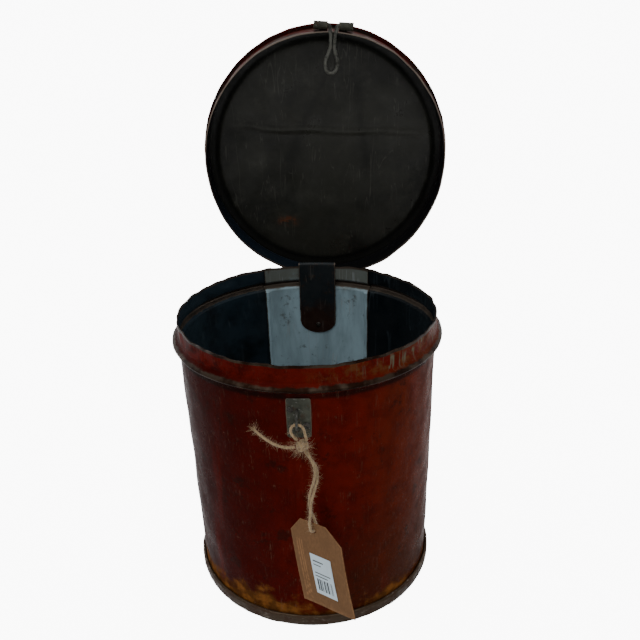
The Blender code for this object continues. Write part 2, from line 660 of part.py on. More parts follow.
def build_rivets(front, back, body_strap, lid_strap, skirt, keepers, plate):
    hole = RIVET_R + HOLE_CLEARANCE
    inner_r = NECK_R - LAP_STEP - 2 * SHEET - GAP
    spot = Vector((0, inner_r - GAP, STRAP_FOOT_Z + 10 * MM))
    inward = Vector((0, -1, 0))
    rivet("body_strap_rivet", spot, inward, 2 * SHEET + 3 * GAP, "dark_sheet")
    drill(body_strap, [(spot, inward, hole, 12 * MM)])
    drill(back, [(spot, inward, hole, 12 * MM)])

    lid_holes = []
    for x, word in ((-9 * MM, "left"), (9 * MM, "right")):
        point, outward = on_wall(x, LID_MOUTH_Z + 14 * MM, LID_OUTER_R + 2 * GAP + SHEET, 1)
        rivet("lid_strap_rivet_" + word, point, outward, 2 * SHEET + 2 * GAP, "dark_sheet", HINGE,
              OPENING, clinched=False)
        lid_holes.append((OPENING @ point, OPENING.to_3x3() @ outward, hole, 12 * MM))
    drill(lid_strap, lid_holes)

    keeper_holes = []
    for keeper, x in zip(keepers, (-KEEPER_X, KEEPER_X)):
        point = on_wall(x, LID_MOUTH_Z + 11 * MM, LID_OUTER_R + 1.9 * MM, -1)[0]
        ahead = Vector((0, -1, 0))
        rivet("keeper_rivet_" + keeper.name.rsplit("_", 1)[1], point, ahead,
              KEEPER_SHEET + SHEET + 1.9 * MM, "dark_sheet", HINGE, OPENING)
        place = (OPENING @ point, OPENING.to_3x3() @ ahead, hole, 12 * MM)
        drill(keeper, [place])
        keeper_holes.append(place)
    drill(skirt, lid_holes + keeper_holes)

    plate_holes = []
    for x, z, word in ((-3.6 * MM, 243 * MM, "upper"), (9.8 * MM, 228 * MM, "lower")):
        point, outward = on_wall(x, z, NECK_R + 2 * GAP + KEEPER_SHEET, -1)
        rivet("plate_rivet_" + word, point, outward, SHEET + KEEPER_SHEET + 3 * GAP, "grey_green_sheet")
        plate_holes.append((point, outward, hole, 12 * MM))
    for z in (STAPLE_TOP_Z, STAPLE_LOW_Z):
        plate_holes.append((Vector((STAPLE_X, -NECK_R, z)), Vector((0, -1, 0)),
                            STAPLE_WIRE_R + HOLE_CLEARANCE, 10 * MM))
    drill(plate, plate_holes)
    drill(front, plate_holes)


def main():
    clear_scene()
    front, back = build_body()
    build_bottom_pan()
    body_strap = build_hinge_body_strap()
    build_hinge_pin()
    lid_strap = build_hinge_lid_strap()
    skirt = build_lid()
    keepers = build_keepers()
    build_hasp_wire()
    plate = build_staple_plate()
    build_staple()
    build_rivets(front, back, body_strap, lid_strap, skirt, keepers, plate)
    build_knot()
    build_twine()
    build_tag()


main()
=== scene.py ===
"""Looks of a storage tin made of salvaged sheet metal, with its lid open, its wire hasp and its tag.

Metres, +Z up, +Y towards the hinge. Each piece is worked out on a grid of two parameters.
"""

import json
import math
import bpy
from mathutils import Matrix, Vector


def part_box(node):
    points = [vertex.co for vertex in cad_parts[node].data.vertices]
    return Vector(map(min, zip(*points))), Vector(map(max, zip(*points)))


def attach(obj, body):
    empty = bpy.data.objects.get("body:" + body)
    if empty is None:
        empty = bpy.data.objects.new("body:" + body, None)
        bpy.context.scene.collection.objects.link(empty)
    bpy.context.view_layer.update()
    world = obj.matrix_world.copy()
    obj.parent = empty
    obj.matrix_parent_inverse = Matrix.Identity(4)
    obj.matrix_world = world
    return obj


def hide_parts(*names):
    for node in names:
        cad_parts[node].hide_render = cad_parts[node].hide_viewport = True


bl_info = {
    "name": "Sheet-metal storage tin",
    "version": (1, 0, 0),
    "blender": (4, 5, 0),
    "location": "View3D > Sidebar > Storage tin",
    "description": "Builds a worn tin with a hinged lid, a wire hasp, twine and a paper tag",
    "category": "Add Mesh",
}

import bmesh
import bpy
import numpy as np
from bpy.props import FloatProperty, FloatVectorProperty, PointerProperty
from mathutils import Matrix, Vector

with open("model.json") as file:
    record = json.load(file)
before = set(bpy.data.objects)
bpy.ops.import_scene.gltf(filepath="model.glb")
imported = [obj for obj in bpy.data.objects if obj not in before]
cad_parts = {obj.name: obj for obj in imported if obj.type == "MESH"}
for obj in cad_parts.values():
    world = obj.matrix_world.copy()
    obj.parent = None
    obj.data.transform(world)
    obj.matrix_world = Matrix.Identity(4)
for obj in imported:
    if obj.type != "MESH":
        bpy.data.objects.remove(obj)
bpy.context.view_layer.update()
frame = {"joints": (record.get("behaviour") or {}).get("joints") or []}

MM = 0.001


def joint(name):
    return next(found for found in frame["joints"] if found["name"] == name)


def half_span(node, axis):
    low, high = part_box(node)
    return (high[axis] - low[axis]) / 2


# Places taken from the frame.
HINGE = Vector(joint("lid_hinge")["pos_m"])
HINGE_AXIS = Vector(joint("lid_hinge")["axis"]).normalized()
LID_OPEN = math.radians(joint("lid_hinge")["range_deg"][1])
OPENING = (Matrix.Translation(HINGE) @ Matrix.Rotation(-LID_OPEN, 4, HINGE_AXIS)
           @ Matrix.Translation(-HINGE))
RIM_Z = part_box("body_front_sheet")[1].z
PAN_R = half_span("bottom_pan", 0)
PAN_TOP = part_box("bottom_pan")[1].z
PLATE_LOW, PLATE_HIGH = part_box("staple_plate")
HASP_PIVOT = Vector(joint("hasp_swing")["pos_m"])
TAG_PIVOT = Vector(joint("tag_swing")["pos_m"])

# Sheet and neck.
SHEET = 1.0 * MM
GAP = 0.4 * MM
NECK_R = PAN_R - 4 * MM
SEAM_INNER_R = NECK_R + GAP
BEAD_Z = 261 * MM
BEAD_HALF = 5.5 * MM
BEAD_BULGE = 6 * MM
FRONT_FROM = math.radians(24)
PANEL_HALF = math.radians(28)
LAP_STEP = SHEET + GAP

# Lid, measured shut.
LID_INNER_R = NECK_R + 2.2 * MM
LID_OUTER_R = LID_INNER_R + SHEET
LID_MOUTH_Z = 267.5 * MM
LID_DEPTH = 29 * MM
LID_SEAM_R = LID_OUTER_R + 4.2 * MM
LID_FLOOR_Z = LID_MOUTH_Z + LID_DEPTH
LID_SEAM_DROP = 5 * MM
PANEL_STEP_R = 113.5 * MM

# Hinge, hasp and staple.
HINGE_TILT = math.atan2(HINGE_AXIS.z, HINGE_AXIS.x)
PIN_R = 1.5 * MM
KNUCKLE_MID_R = PIN_R + 0.3 * MM + SHEET / 2
STRAP_HALF = 19.5 * MM
STRAP_FOOT_Z = 203 * MM
LID_STRAP_HALF = 15 * MM
TONGUE_HALF = 7 * MM
FINGER_INNER = 7.7 * MM
HASP_WIRE_R = 1.65 * MM
HASP_REACH = 41.2 * MM
HASP_EYE_MIDDLE = 32.4 * MM
HASP_EYE_HALF = 5.75 * MM
KEEPER_SHEET = 0.8 * MM
KEEPER_SEEN = KEEPER_SHEET - 0.06 * MM
KEEPER_MID_R = HASP_WIRE_R + 0.3 * MM + KEEPER_SHEET / 2
KEEPER_Y = NECK_R + 8.9 * MM
KEEPER_Z = LID_MOUTH_Z - 2.2 * MM
KEEPER_X = 12 * MM
KEEPER_HALF = 6.5 * MM
STAPLE_X = TAG_PIVOT.x
STAPLE_OUT = NECK_R + 11 * MM
STAPLE_TOP_Z = 242 * MM
STAPLE_LOW_Z = 228 * MM
STAPLE_WIRE_R = 1.1 * MM
PLATE_TURN = 3.3 * MM / NECK_R
PLATE_HALF = 10.2 * MM
RIVET_R = 1.3 * MM
RIVET_HEAD_R = 2.8 * MM
RIVET_HEAD_H = 1.3 * MM

# Twine and tag.
TWINE_R = 1.2 * MM
KNOT_CENTRE = Vector((6.2, -128.7, 213.2)) * MM
KNOT_R = 6 * MM
TAG_HALF = 30 * MM
TAG_TOP = 8 * MM
TAG_FOOT = -82 * MM
TAG_CUT = 15 * MM
TAG_THICK = 0.8 * MM
TAG_HOLE_R = 2.4 * MM
TAG_HOLE = Vector((15, -144.9, 137.8)) * MM
TAG_YAW = math.radians(38)
TAG_LEAN = math.radians(11)
LABEL_LOW = (-10 * MM, -67 * MM)
LABEL_HIGH = (14.6 * MM, -25 * MM)
STRAND_OFFSET = 1.5 * MM
STRAND_U_R = 3.6 * MM
PAIR_TURNS = 0.75

# Routes of the twine, in millimetres.
LOOP_ROUTE = [(2.3, -128.7, 218.4), (-0.9, -128.4, 221.8), (-2.8, -128.0, 225.6), (-2.3, -127.8, 229.4),
              (-0.3, -127.7, 231.6), (2.4, -127.6, 232.3), (5.1, -127.7, 231.6), (7.3, -127.8, 229.4),
              (8.5, -128.0, 225.6), (9.1, -128.4, 221.8), (10.1, -128.7, 218.4)]
TAIL_ROUTE = [(-0.1, -129.2, 211.8), (-5.0, -129.0, 211.0), (-11.0, -128.2, 211.2),
              (-17.0, -127.2, 212.9), (-23.0, -126.0, 216.0), (-28.5, -124.9, 220.0),
              (-33.5, -123.8, 224.4)]
PAIR_ROUTE = [(9.1, -129.4, 207.6), (12.6, -130.3, 201.5), (15.9, -131.4, 195.5), (17.2, -132.8, 189.0),
              (16.4, -134.6, 181.5), (14.2, -136.6, 174.0), (12.4, -138.6, 166.0),
              (12.0, -140.6, 158.0), (12.9, -142.7, 150.0), (13.7, -144.0, 145.2)]

# Camera: angles, distance and target in metres, lens in millimetres.
CAMERA_DISTANCE = 0.6954
CAMERA_AZIMUTH = math.radians(5.24)
CAMERA_ELEVATION = math.radians(29.1)
CAMERA_ROLL = math.radians(-1.65)
CAMERA_LENS = 39.52
CAMERA_SHIFT_Y = 0.109
CAMERA_TARGET_X = 0.0102
CAMERA_TARGET_Z = 0.1932


# ---- numbers on grids ----

def bumps(points, size, seed):
    """Smooth bumps of about that size, mostly from -1 to 1: a sum of sine waves of fixed random
    directions and phases, taken at the points."""
    random = np.random.default_rng(seed)
    way = random.normal(size=(14, 3))
    way *= (random.uniform(0.6, 1.7, 14) / np.linalg.norm(way, axis=1))[:, None]
    phase = random.uniform(0, 2 * np.pi, 14)
    waves = np.sin(np.asarray(points) @ way.T * (2 * np.pi / size) + phase)
    return waves.sum(-1) / 4.5


def smooth_step(value, low, high):
    """0 below low, 1 above high and an S curve between them."""
    share = np.clip((value - low) / (high - low), 0, 1)
    return share * share * (3 - 2 * share)


def arc(centre, radius, start_deg, end_deg, steps):
    """Points along an arc: the centre plus the radius times the cosine and sine of the angle."""
    angle = np.radians(np.linspace(start_deg, end_deg, steps + 1))
    return np.stack([centre[0] + radius * np.cos(angle), centre[1] + radius * np.sin(angle)], 1)


def evened(points, spacing):
    """Points at an even spacing along the Catmull-Rom curve through the given points."""
    points = np.asarray(points, float)
    ends = np.vstack([2 * points[0] - points[1], points, 2 * points[-1] - points[-2]])
    a, b, c, d = (ends[k:len(ends) - 3 + k, None] for k in range(4))
    t = np.linspace(0, 1, 25)[None, :-1, None]
    fine = 0.5 * (2 * b + (c - a) * t + (2 * a - 5 * b + 4 * c - d) * t ** 2
                  + (3 * b - a - 3 * c + d) * t ** 3)
    fine = np.vstack([fine.reshape(-1, points.shape[1]), points[-1:]])
    far = np.concatenate([[0], np.cumsum(np.linalg.norm(np.diff(fine, axis=0), axis=1))])
    wanted = np.linspace(0, far[-1], max(3, round(far[-1] / spacing)) + 1)
    return np.stack([np.interp(wanted, far, column) for column in fine.T], 1)


def around(angle, radius, height):
    """Points on rings about Z: x is the radius times the sine of the angle and y times its cosine."""
    angle, radius, height = np.broadcast_arrays(angle, radius, height)
    return np.stack([radius * np.sin(angle), radius * np.cos(angle), height], -1)


def carried(line, radius, sides, lobes=0, depth=0.0, twist=0.0, rough=0.0, seed=0):
    """Rings of a round section carried along a line without twisting. The radius is cut by the
    lobes, which turn about the line by twist turns in each metre, and roughened by bumps."""
    line = np.asarray(line, float)
    along = np.gradient(line, axis=0)
    along /= np.linalg.norm(along, axis=1)[:, None]
    side = np.empty_like(line)
    last = np.cross(along[0], (0.31, 0.17, 0.93))
    for k, way in enumerate(along):
        last = last - way * last.dot(way)
        last /= np.linalg.norm(last)
        side[k] = last
    up = np.cross(along, side)
    far = np.concatenate([[0], np.cumsum(np.linalg.norm(np.diff(line, axis=0), axis=1))])
    angle = np.linspace(0, 2 * np.pi, sides, endpoint=False)[None, :]
    turn = 2 * np.pi * twist * far[:, None]
    reach = np.ones((len(line), sides)) * np.reshape(radius, (-1, 1))
    if lobes:
        reach = reach * (1 - depth * (1 - np.abs(np.cos(lobes / 2 * (angle - turn)))))
    ring = side[:, None] * np.cos(angle)[..., None] + up[:, None] * np.sin(angle)[..., None]
    if rough:
        reach = reach * (1 + rough * bumps(line[:, None] + ring * np.mean(radius), 3 * MM, seed))
    return line[:, None] + ring * reach[..., None]


def sheet_section(path, half_thickness):
    """The two faces of a bent sheet: the path moved along its left side and along its right side."""
    path = np.asarray(path, float)
    along = np.gradient(path, axis=0)
    along /= np.linalg.norm(along, axis=1)[:, None]
    left = np.stack([-along[:, 1], along[:, 0]], 1) * half_thickness
    return path + left, path - left


# ---- meshes ----

def grid_faces(rows, columns, close_rows, close_columns, first=0):
    """The four corners of each cell of a grid of points, joined end to end where asked."""
    index = np.arange(rows * columns).reshape(rows, columns)
    if close_rows:
        index = np.vstack([index, index[:1]])
    if close_columns:
        index = np.hstack([index, index[:, :1]])
    a, b = index[:-1, :-1], index[1:, :-1]
    c, d = index[1:, 1:], index[:-1, 1:]
    return np.stack([a, b, c, d], -1).reshape(-1, 4) + first, a.shape


class Surface:
    """Grids gathered into one mesh, with a material number and attributes for their points."""

    def __init__(self):
        self.points, self.faces, self.zones, self.marks = [], [], [], {}
        self.count = 0

    def add(self, grid, close_rows=False, close_columns=False, cap_rows=False, hub_columns=False,
            zones=0, **marks):
        """Adds a grid. cap_rows closes its first and last rows, hub_columns its end columns."""
        grid = np.asarray(grid, float)
        rows, columns = grid.shape[:2]
        faces, cells = grid_faces(rows, columns, close_rows, close_columns, self.count)
        self.points.append(grid.reshape(-1, 3))
        self.faces += faces.tolist()
        self.zones += np.broadcast_to(zones, cells).ravel().tolist()
        for name, values in marks.items():
            self.marks.setdefault(name, np.zeros(self.count))
            self.marks[name] = np.append(self.marks[name], np.broadcast_to(values, (rows, columns)))
        first = self.count
        self.count += rows * columns
        zone = np.broadcast_to(zones, cells)
        if cap_rows:
            for row in (0, rows - 1):
                self.faces.append([first + row * columns + k for k in range(columns)])
                self.zones.append(int(zone[min(row, cells[0] - 1), 0]))
        if hub_columns:
            for column in (0, columns - 1):
                self.points.append(grid[:, column].mean(0)[None])
                ring = [first + row * columns + column for row in range(rows)]
                self.faces += [[one, other, self.count] for one, other in zip(ring, ring[1:] + ring[:1])]
                self.zones += [int(zone[0, min(column, cells[1] - 1)])] * rows
                for name in self.marks:
                    worth = np.mean(self.marks[name][ring])
                    self.marks[name] = np.append(self.marks[name], worth)
                self.count += 1
        for name, values in self.marks.items():
            if len(values) < self.count:
                self.marks[name] = np.append(values, np.zeros(self.count - len(values)))
        return self

    def make(self, name, body, materials, replaced=(), slot=None, moved=None, sharp=40):
        """The finished piece, its faces turned outwards, riding on its body."""
        points = np.concatenate(self.points)
        if moved is not None:
            turn = np.array(moved.to_3x3())
            points = points @ turn.T + np.array(moved.translation)
        mesh = bpy.data.meshes.new(name)
        mesh.from_pydata(points, [], self.faces)
        for finish in materials:
            mesh.materials.append(finish)
        mesh.polygons.foreach_set("material_index", np.array(self.zones, np.int32))
        for mark, values in self.marks.items():
            layer = mesh.attributes.new(mark, "FLOAT", "POINT")
            layer.data.foreach_set("value", values.astype(np.float32))
        work = bmesh.new()
        work.from_mesh(mesh)
        bmesh.ops.recalc_face_normals(work, faces=work.faces)
        work.to_mesh(mesh)
        work.free()
        mesh.shade_smooth()
        mesh.set_sharp_from_angle(angle=math.radians(sharp))
        piece = bpy.data.objects.new(name, mesh)
        bpy.context.scene.collection.objects.link(piece)
        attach(piece, body)
        if replaced:
            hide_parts(*replaced)
        return piece


# ---- material building blocks ----

class Nodes:
    """Short names for the node links that the finishes below are built from."""

    def __init__(self, name, roughness, metallic, gloss=0.2):
        self.material = bpy.data.materials.new("finish_" + name)
        self.material.use_nodes = True
        self.tree = self.material.node_tree
        self.shader = self.tree.nodes["Principled BSDF"]
        self.shader.inputs["Roughness"].default_value = roughness
        self.shader.inputs["Metallic"].default_value = metallic
        self.shader.inputs["Specular IOR Level"].default_value = gloss
        self.place = self.tree.nodes.new("ShaderNodeTexCoord").outputs["Object"]

    def put(self, socket, value):
        if hasattr(value, "is_output"):
            self.tree.links.new(value, socket)
        elif isinstance(value, (tuple, list)) and len(value) == 3 and socket.type == "RGBA":
            socket.default_value = (*value, 1)
        else:
            socket.default_value = value

    def node(self, kind, output=0, settings=None, **inputs):
        made = self.tree.nodes.new("ShaderNode" + kind)
        for name, value in (settings or {}).items():
            setattr(made, name, value)
        for name, value in inputs.items():
            name = name.replace("_", " ")
            self.put(made.inputs[int(name[1:]) if name[0] == "i" and name[1:].isdigit() else name], value)
        return made.outputs[output]

    def stretched(self, scale, turn=(0, 0, 0)):
        return self.node("Mapping", Vector=self.place, Scale=scale, Rotation=turn)

    def noise(self, scale, detail=4.0, roughness=0.55, where=None, distortion=0.0):
        return self.node("TexNoise", Vector=where or self.place, Scale=scale, Detail=detail,
                         Roughness=roughness, Distortion=distortion)

    def cells(self, scale, where=None, feature="F1"):
        return self.node("TexVoronoi", 0, {"feature": feature}, Vector=where or self.place, Scale=scale)

    def math(self, operation, a, b=0.0, c=0.0):
        return self.node("Math", 0, {"operation": operation}, i0=a, i1=b, i2=c)

    def mark(self, name):
        return self.node("Attribute", 2, {"attribute_name": name})

    def range(self, value, low, high, to_low=0.0, to_high=1.0):
        return self.node("MapRange", 0, {"interpolation_type": "SMOOTHSTEP"}, Value=value,
                         From_Min=low, From_Max=high, To_Min=to_low, To_Max=to_high)

    def mix(self, share, one, other, blend="MIX"):
        made = self.tree.nodes.new("ShaderNodeMix")
        made.data_type = "RGBA"
        made.blend_type = blend
        self.put(made.inputs[0], share)
        self.put(made.inputs[6], one)
        self.put(made.inputs[7], other)
        return made.outputs[2]

    def blend(self, share, one, other):
        return self.node("Mix", 0, {"data_type": "FLOAT"}, i0=share, i2=one, i3=other)

    def axis(self, index):
        return self.node("SeparateXYZ", index, Vector=self.place)

    def scratches(self, scale, width, turn=(0, 0, 0), amount=0.5):
        """Thin broken lines: where a noise stretched along one way passes through its middle."""
        lines = self.noise(scale, 2.0, 0.5, self.stretched((1, 1, 0.06), turn), 0.4)
        near = self.math("ABSOLUTE", self.math("SUBTRACT", lines, 0.5))
        thin = self.range(near, 0.0, width, 1.0, 0.0)
        patch = self.range(self.noise(scale * 0.35, 2.0), amount, amount + 0.08)
        return self.math("MULTIPLY", thin, patch)

    def finish(self, colour, roughness=None, metallic=None, height=None, depth=0.2 * MM, strength=0.6):
        self.put(self.shader.inputs["Base Color"], colour)
        if roughness is not None:
            self.put(self.shader.inputs["Roughness"], roughness)
        if metallic is not None:
            self.put(self.shader.inputs["Metallic"], metallic)
        if height is not None:
            bump = self.node("Bump", Height=height, Distance=depth, Strength=strength)
            self.put(self.shader.inputs["Normal"], bump)
        return self.material


def colours():
    return bpy.context.scene.tin_colours


def sizes():
    return bpy.context.scene.tin_sizes


def shade(colour, amount):
    """The colour made lighter or darker by a factor."""
    return tuple(min(1.0, part * amount) for part in colour)


def once(make):
    """The finish is made the first time and found again after that."""
    def found():
        kept = bpy.data.materials.get("finish_" + make.__name__)
        return kept or make()
    return found


@once
def worn_paint():
    """Red paint over steel: maroon to the left, partly the paint's tone and partly painted shade, and
    brown-red to the right, browner low down, with a painted shadow under the bead that is partly dirt,
    scratched, rusted at the foot, scuffed at the neck and rubbed to bare metal where the mark named bare
    says."""
    n = Nodes("worn_paint", 0.35, 0.0, 0.06)
    n.shader.inputs["IOR"].default_value = 1.22
    red = tuple(colours().paint)
    across, height = n.axis(0), n.axis(2)
    cloud = n.noise(16, 5.0, 0.6)
    # Darker maroon towards the left: partly the paint's own tone, partly painted shade on the side turned
    # from the light.
    side = n.range(n.math("ADD", across, n.math("MULTIPLY", n.math("SUBTRACT", cloud, 0.5), 0.09)),
                   -0.10, 0.05)
    colour = n.mix(side, shade(red, 0.30), red)
    right = n.range(n.math("ADD", across, n.math("MULTIPLY", n.math("SUBTRACT", cloud, 0.5), 0.06)),
                    0.03, 0.13)
    colour = n.mix(right, colour, tuple(colours().paint_right))
    mottle = n.range(n.noise(60, 6.0, 0.65), 0.35, 0.72)
    colour = n.mix(n.math("MULTIPLY", mottle, 0.55), colour, shade(red, 0.25))
    blotch = n.range(n.noise(34, 7.0, 0.7), 0.56, 0.66)
    colour = n.mix(n.math("MULTIPLY", blotch, 0.6), colour, (0.012, 0.0035, 0.002))
    low = n.math("MULTIPLY", n.range(n.math("ADD", height, n.math("MULTIPLY", cloud, 0.10)), 0.20, 0.08),
                 n.range(across, -0.02, 0.05))
    colour = n.mix(n.math("MULTIPLY", low, 0.6), colour, (0.024, 0.0085, 0.0026))
    # Painted shadow, partly dirt: a dark band just under the bead's overhang.
    bead_shadow = n.math("ABSOLUTE", n.math("SUBTRACT", height, BEAD_Z - 7 * MM))
    bead_shadow = n.range(bead_shadow, 0.0045, 0.001, 0.0, 0.8)
    colour = n.mix(bead_shadow, colour, (0.006, 0.002, 0.0012))
    drips = n.noise(30, 4.0, 0.6, n.stretched((1, 1, 0.12)), 0.3)
    colour = n.mix(n.range(drips, 0.55, 0.75, 0.0, 0.35), colour, shade(red, 1.5))
    # Neck: brighter red, with orange, olive and grey-green scuffs to the front right.
    neck = n.range(height, 0.262, 0.270)
    right_front = n.range(n.math("ADD", across, n.math("MULTIPLY", n.math("SUBTRACT", cloud, 0.5), 0.1)),
                          0.0, 0.06)
    scuff = n.range(n.noise(75, 6.0, 0.75), 0.47, 0.60)
    scuff = n.math("MULTIPLY", n.math("MULTIPLY", scuff, neck), right_front)
    left_red = n.math("MULTIPLY", neck, n.range(n.noise(50, 6.0, 0.7), 0.40, 0.58, 0.0, 0.9))
    colour = n.mix(left_red, colour, (0.078, 0.0038, 0.0016))
    colour = n.mix(scuff, colour, tuple(colours().scuff))
    green = n.math("MULTIPLY", n.scratches(140, 0.05, (0, 0.6, 0.0), 0.46), neck)
    green = n.math("MULTIPLY", green, n.range(across, 0.04, 0.07))
    colour = n.mix(n.math("MULTIPLY", green, 0.9), colour, (0.095, 0.100, 0.066))
    # Foot: ochre and orange rust in a ragged band.
    foot = n.math("ADD", height, n.math("MULTIPLY", n.math("SUBTRACT", n.noise(22, 6.0, 0.68), 0.5), 0.13))
    foot = n.math("SUBTRACT", foot, n.range(n.math("ABSOLUTE", n.math("ADD", across, 0.045)), 0.05, 0.0, 0.0,
                                            0.014))
    rust = n.range(foot, 0.030, 0.010)
    rust = n.math("MULTIPLY", rust, n.range(n.noise(70, 5.0, 0.7), 0.30, 0.50, 0.25, 1.0))
    rusty = n.mix(n.range(n.noise(90, 4.0), 0.4, 0.6), tuple(colours().rust), shade(colours().rust, 0.45))
    colour = n.mix(rust, colour, rusty)
    # Scratches and chips down to the steel.
    fine = n.math("MAXIMUM", n.scratches(210, 0.010, (0.2, 0, 0), 0.54),
                  n.scratches(170, 0.010, (1.2, 0.5, 0), 0.57))
    fine = n.math("MAXIMUM", fine, n.scratches(260, 0.010, (0.6, 1.3, 0.4), 0.57))
    chips = n.range(n.noise(330, 3.0, 0.6), 0.70, 0.74)
    light = n.math("MAXIMUM", n.math("MULTIPLY", fine, 0.35), n.math("MULTIPLY", chips, 0.4))
    colour = n.mix(light, colour, (0.12, 0.065, 0.042))
    bare = n.math("ADD", n.mark("bare"),
                  n.math("MULTIPLY", n.math("SUBTRACT", n.noise(70, 6.0, 0.7), 0.5), 1.1))
    bare = n.range(bare, 0.36, 0.62)
    steel = n.mix(n.range(n.noise(60, 6.0), 0.42, 0.60), (0.040, 0.027, 0.019), (0.013, 0.0055, 0.0032))
    colour = n.mix(bare, colour, steel)
    rough = n.blend(mottle, 0.24, 0.42)
    rough = n.blend(rust, rough, 0.75)
    rough = n.blend(bare, rough, 0.38)
    relief = n.math("ADD", n.math("MULTIPLY", n.noise(260, 4.0), 0.4), n.math("MULTIPLY", light, -0.6))
    relief = n.math("ADD", relief, n.math("MULTIPLY", n.noise(22, 3.0), 3.0))
    return n.finish(colour, rough, n.math("MULTIPLY", bare, 0.6), relief, 0.35 * MM, 0.7)


@once
def inside_sheet():
    """The dark inside of the can: near black, with a painted bluish sheen towards the left and painted shade
    to the right, and fine scratches.
    """
    n = Nodes("inside_sheet", 0.4, 0.0)
    base = tuple(colours().inside)
    # Painted sheen and shade: lighter and bluish towards the left, darker to the right.
    side = n.range(n.axis(0), -0.02, -0.09)
    colour = n.mix(side, shade(base, 0.35), shade(base, 1.8))
    colour = n.mix(n.range(n.noise(24, 5.0, 0.6), 0.42, 0.68), colour, shade(base, 0.35))
    line = n.scratches(70, 0.02, (0.3, 0, 0), 0.5)
    colour = n.mix(n.math("MULTIPLY", line, 0.3), colour, (0.06, 0.075, 0.085))
    edge = n.range(n.math("ADD", n.mark("bare"), n.math("MULTIPLY", n.noise(140, 4.0), 0.5)), 0.7, 0.95)
    colour = n.mix(edge, colour, (0.12, 0.095, 0.075))
    rough = n.range(n.noise(45, 5.0, 0.6), 0.3, 0.7, 0.28, 0.6)
    return n.finish(colour, rough, n.math("MULTIPLY", edge, 0.8), n.noise(30, 5.0, 0.6), 0.8 * MM, 0.6)


@once
def panel_paint():
    """Pale blue-grey paint with grey-green wear towards the bead and dull vertical streaks."""
    n = Nodes("panel_paint", 0.5, 0.0)
    base = tuple(colours().panel)
    height = n.axis(2)
    streak = n.noise(34, 5.0, 0.62, n.stretched((1, 1, 0.25)), 0.3)
    colour = n.mix(n.range(streak, 0.38, 0.68), base, shade(base, 0.62))
    worn = n.math("ADD", height, n.math("MULTIPLY", n.math("SUBTRACT", n.noise(60, 5.0, 0.6), 0.5), 0.04))
    colour = n.mix(n.range(worn, 0.252, 0.268, 0.0, 0.85), colour, (0.075, 0.072, 0.052))
    brown = n.range(n.noise(85, 6.0, 0.7), 0.58, 0.68)
    colour = n.mix(n.math("MULTIPLY", brown, 0.55), colour, (0.045, 0.030, 0.017))
    line = n.scratches(95, 0.025, (0.4, 0.1, 0), 0.47)
    colour = n.mix(n.math("MULTIPLY", line, 0.4), colour, (0.24, 0.27, 0.28))
    bare = n.range(n.math("ADD", n.mark("bare"), n.math("MULTIPLY", n.noise(140, 4.0), 0.5)), 0.66, 0.9)
    colour = n.mix(bare, colour, (0.10, 0.08, 0.062))
    rough = n.range(streak, 0.3, 0.7, 0.42, 0.62)
    return n.finish(colour, rough, n.math("MULTIPLY", bare, 0.8), n.noise(70, 6.0, 0.6), 0.4 * MM, 0.5)


@once
def bare_steel():
    """Bare steel gone grey-brown: mottled, with rust in its hollows and rubbed bright spots."""
    n = Nodes("bare_steel", 0.45, 0.75)
    base = tuple(colours().steel)
    rust = n.range(n.noise(75, 6.0, 0.7), 0.42, 0.62)
    colour = n.mix(n.math("MULTIPLY", rust, 0.8), base, (0.034, 0.014, 0.006))
    bright = n.range(n.noise(150, 4.0, 0.6, n.stretched((1, 1, 3))), 0.58, 0.70)
    colour = n.mix(n.math("MULTIPLY", bright, 0.6), colour, (0.20, 0.17, 0.14))
    rough = n.blend(rust, 0.36, 0.7)
    return n.finish(colour, rough, n.blend(rust, 0.85, 0.15), n.noise(240, 5.0, 0.6), 0.25 * MM, 0.7)


@once
def lid_inside():
    """Dark grey-green lacquer: cloudy, scratched in arcs, with a rust spot, rubbed raised lines,
    two soft bands of painted hasp shadow and a near-black ring of painted shade by the skirt.
    """
    n = Nodes("lid_inside", 0.4, 0.0)
    base = tuple(colours().disc)
    cloud = n.noise(13, 6.0, 0.62, distortion=0.3)
    colour = n.mix(n.range(cloud, 0.38, 0.66), base, shade(base, 0.38))
    colour = n.mix(n.range(n.noise(48, 6.0, 0.7), 0.50, 0.72, 0.0, 0.5), colour, shade(base, 1.7))
    lines = n.math("MAXIMUM", n.scratches(80, 0.010, (0.1, 0.7, 0), 0.50),
                   n.scratches(120, 0.010, (0.1, 2.1, 0), 0.52))
    specks = n.range(n.noise(420, 3.0, 0.6), 0.70, 0.76)
    lines = n.math("MAXIMUM", lines, n.math("MULTIPLY", specks, n.range(n.noise(20, 3.0), 0.48, 0.6)))
    colour = n.mix(n.math("MULTIPLY", lines, 0.35), colour, (0.065, 0.065, 0.055))
    # Painted shadow of the hasp: two soft dark bands across the plate.
    colour = n.mix(n.math("MULTIPLY", n.mark("stain"), 0.55), colour, shade(base, 0.3))
    # Painted shade: the plate's band outside its step, in the corner by the skirt, darkened to near black.
    colour = n.mix(n.math("MULTIPLY", n.mark("ring"), 0.75), colour, (0.005, 0.005, 0.0045))
    raised = n.math("MULTIPLY", n.mark("raised"), n.range(n.noise(90, 4.0), 0.3, 0.6))
    colour = n.mix(n.math("MULTIPLY", raised, 0.35), colour, (0.035, 0.035, 0.029))
    spot = n.math("MULTIPLY", n.mark("spot"), n.range(n.noise(160, 4.0), 0.35, 0.6))
    colour = n.mix(spot, colour, (0.10, 0.028, 0.008))
    rough = n.range(n.noise(30, 6.0, 0.65), 0.3, 0.7, 0.26, 0.52)
    return n.finish(colour, rough, None, n.noise(36, 5.0, 0.6), 0.6 * MM, 0.6)


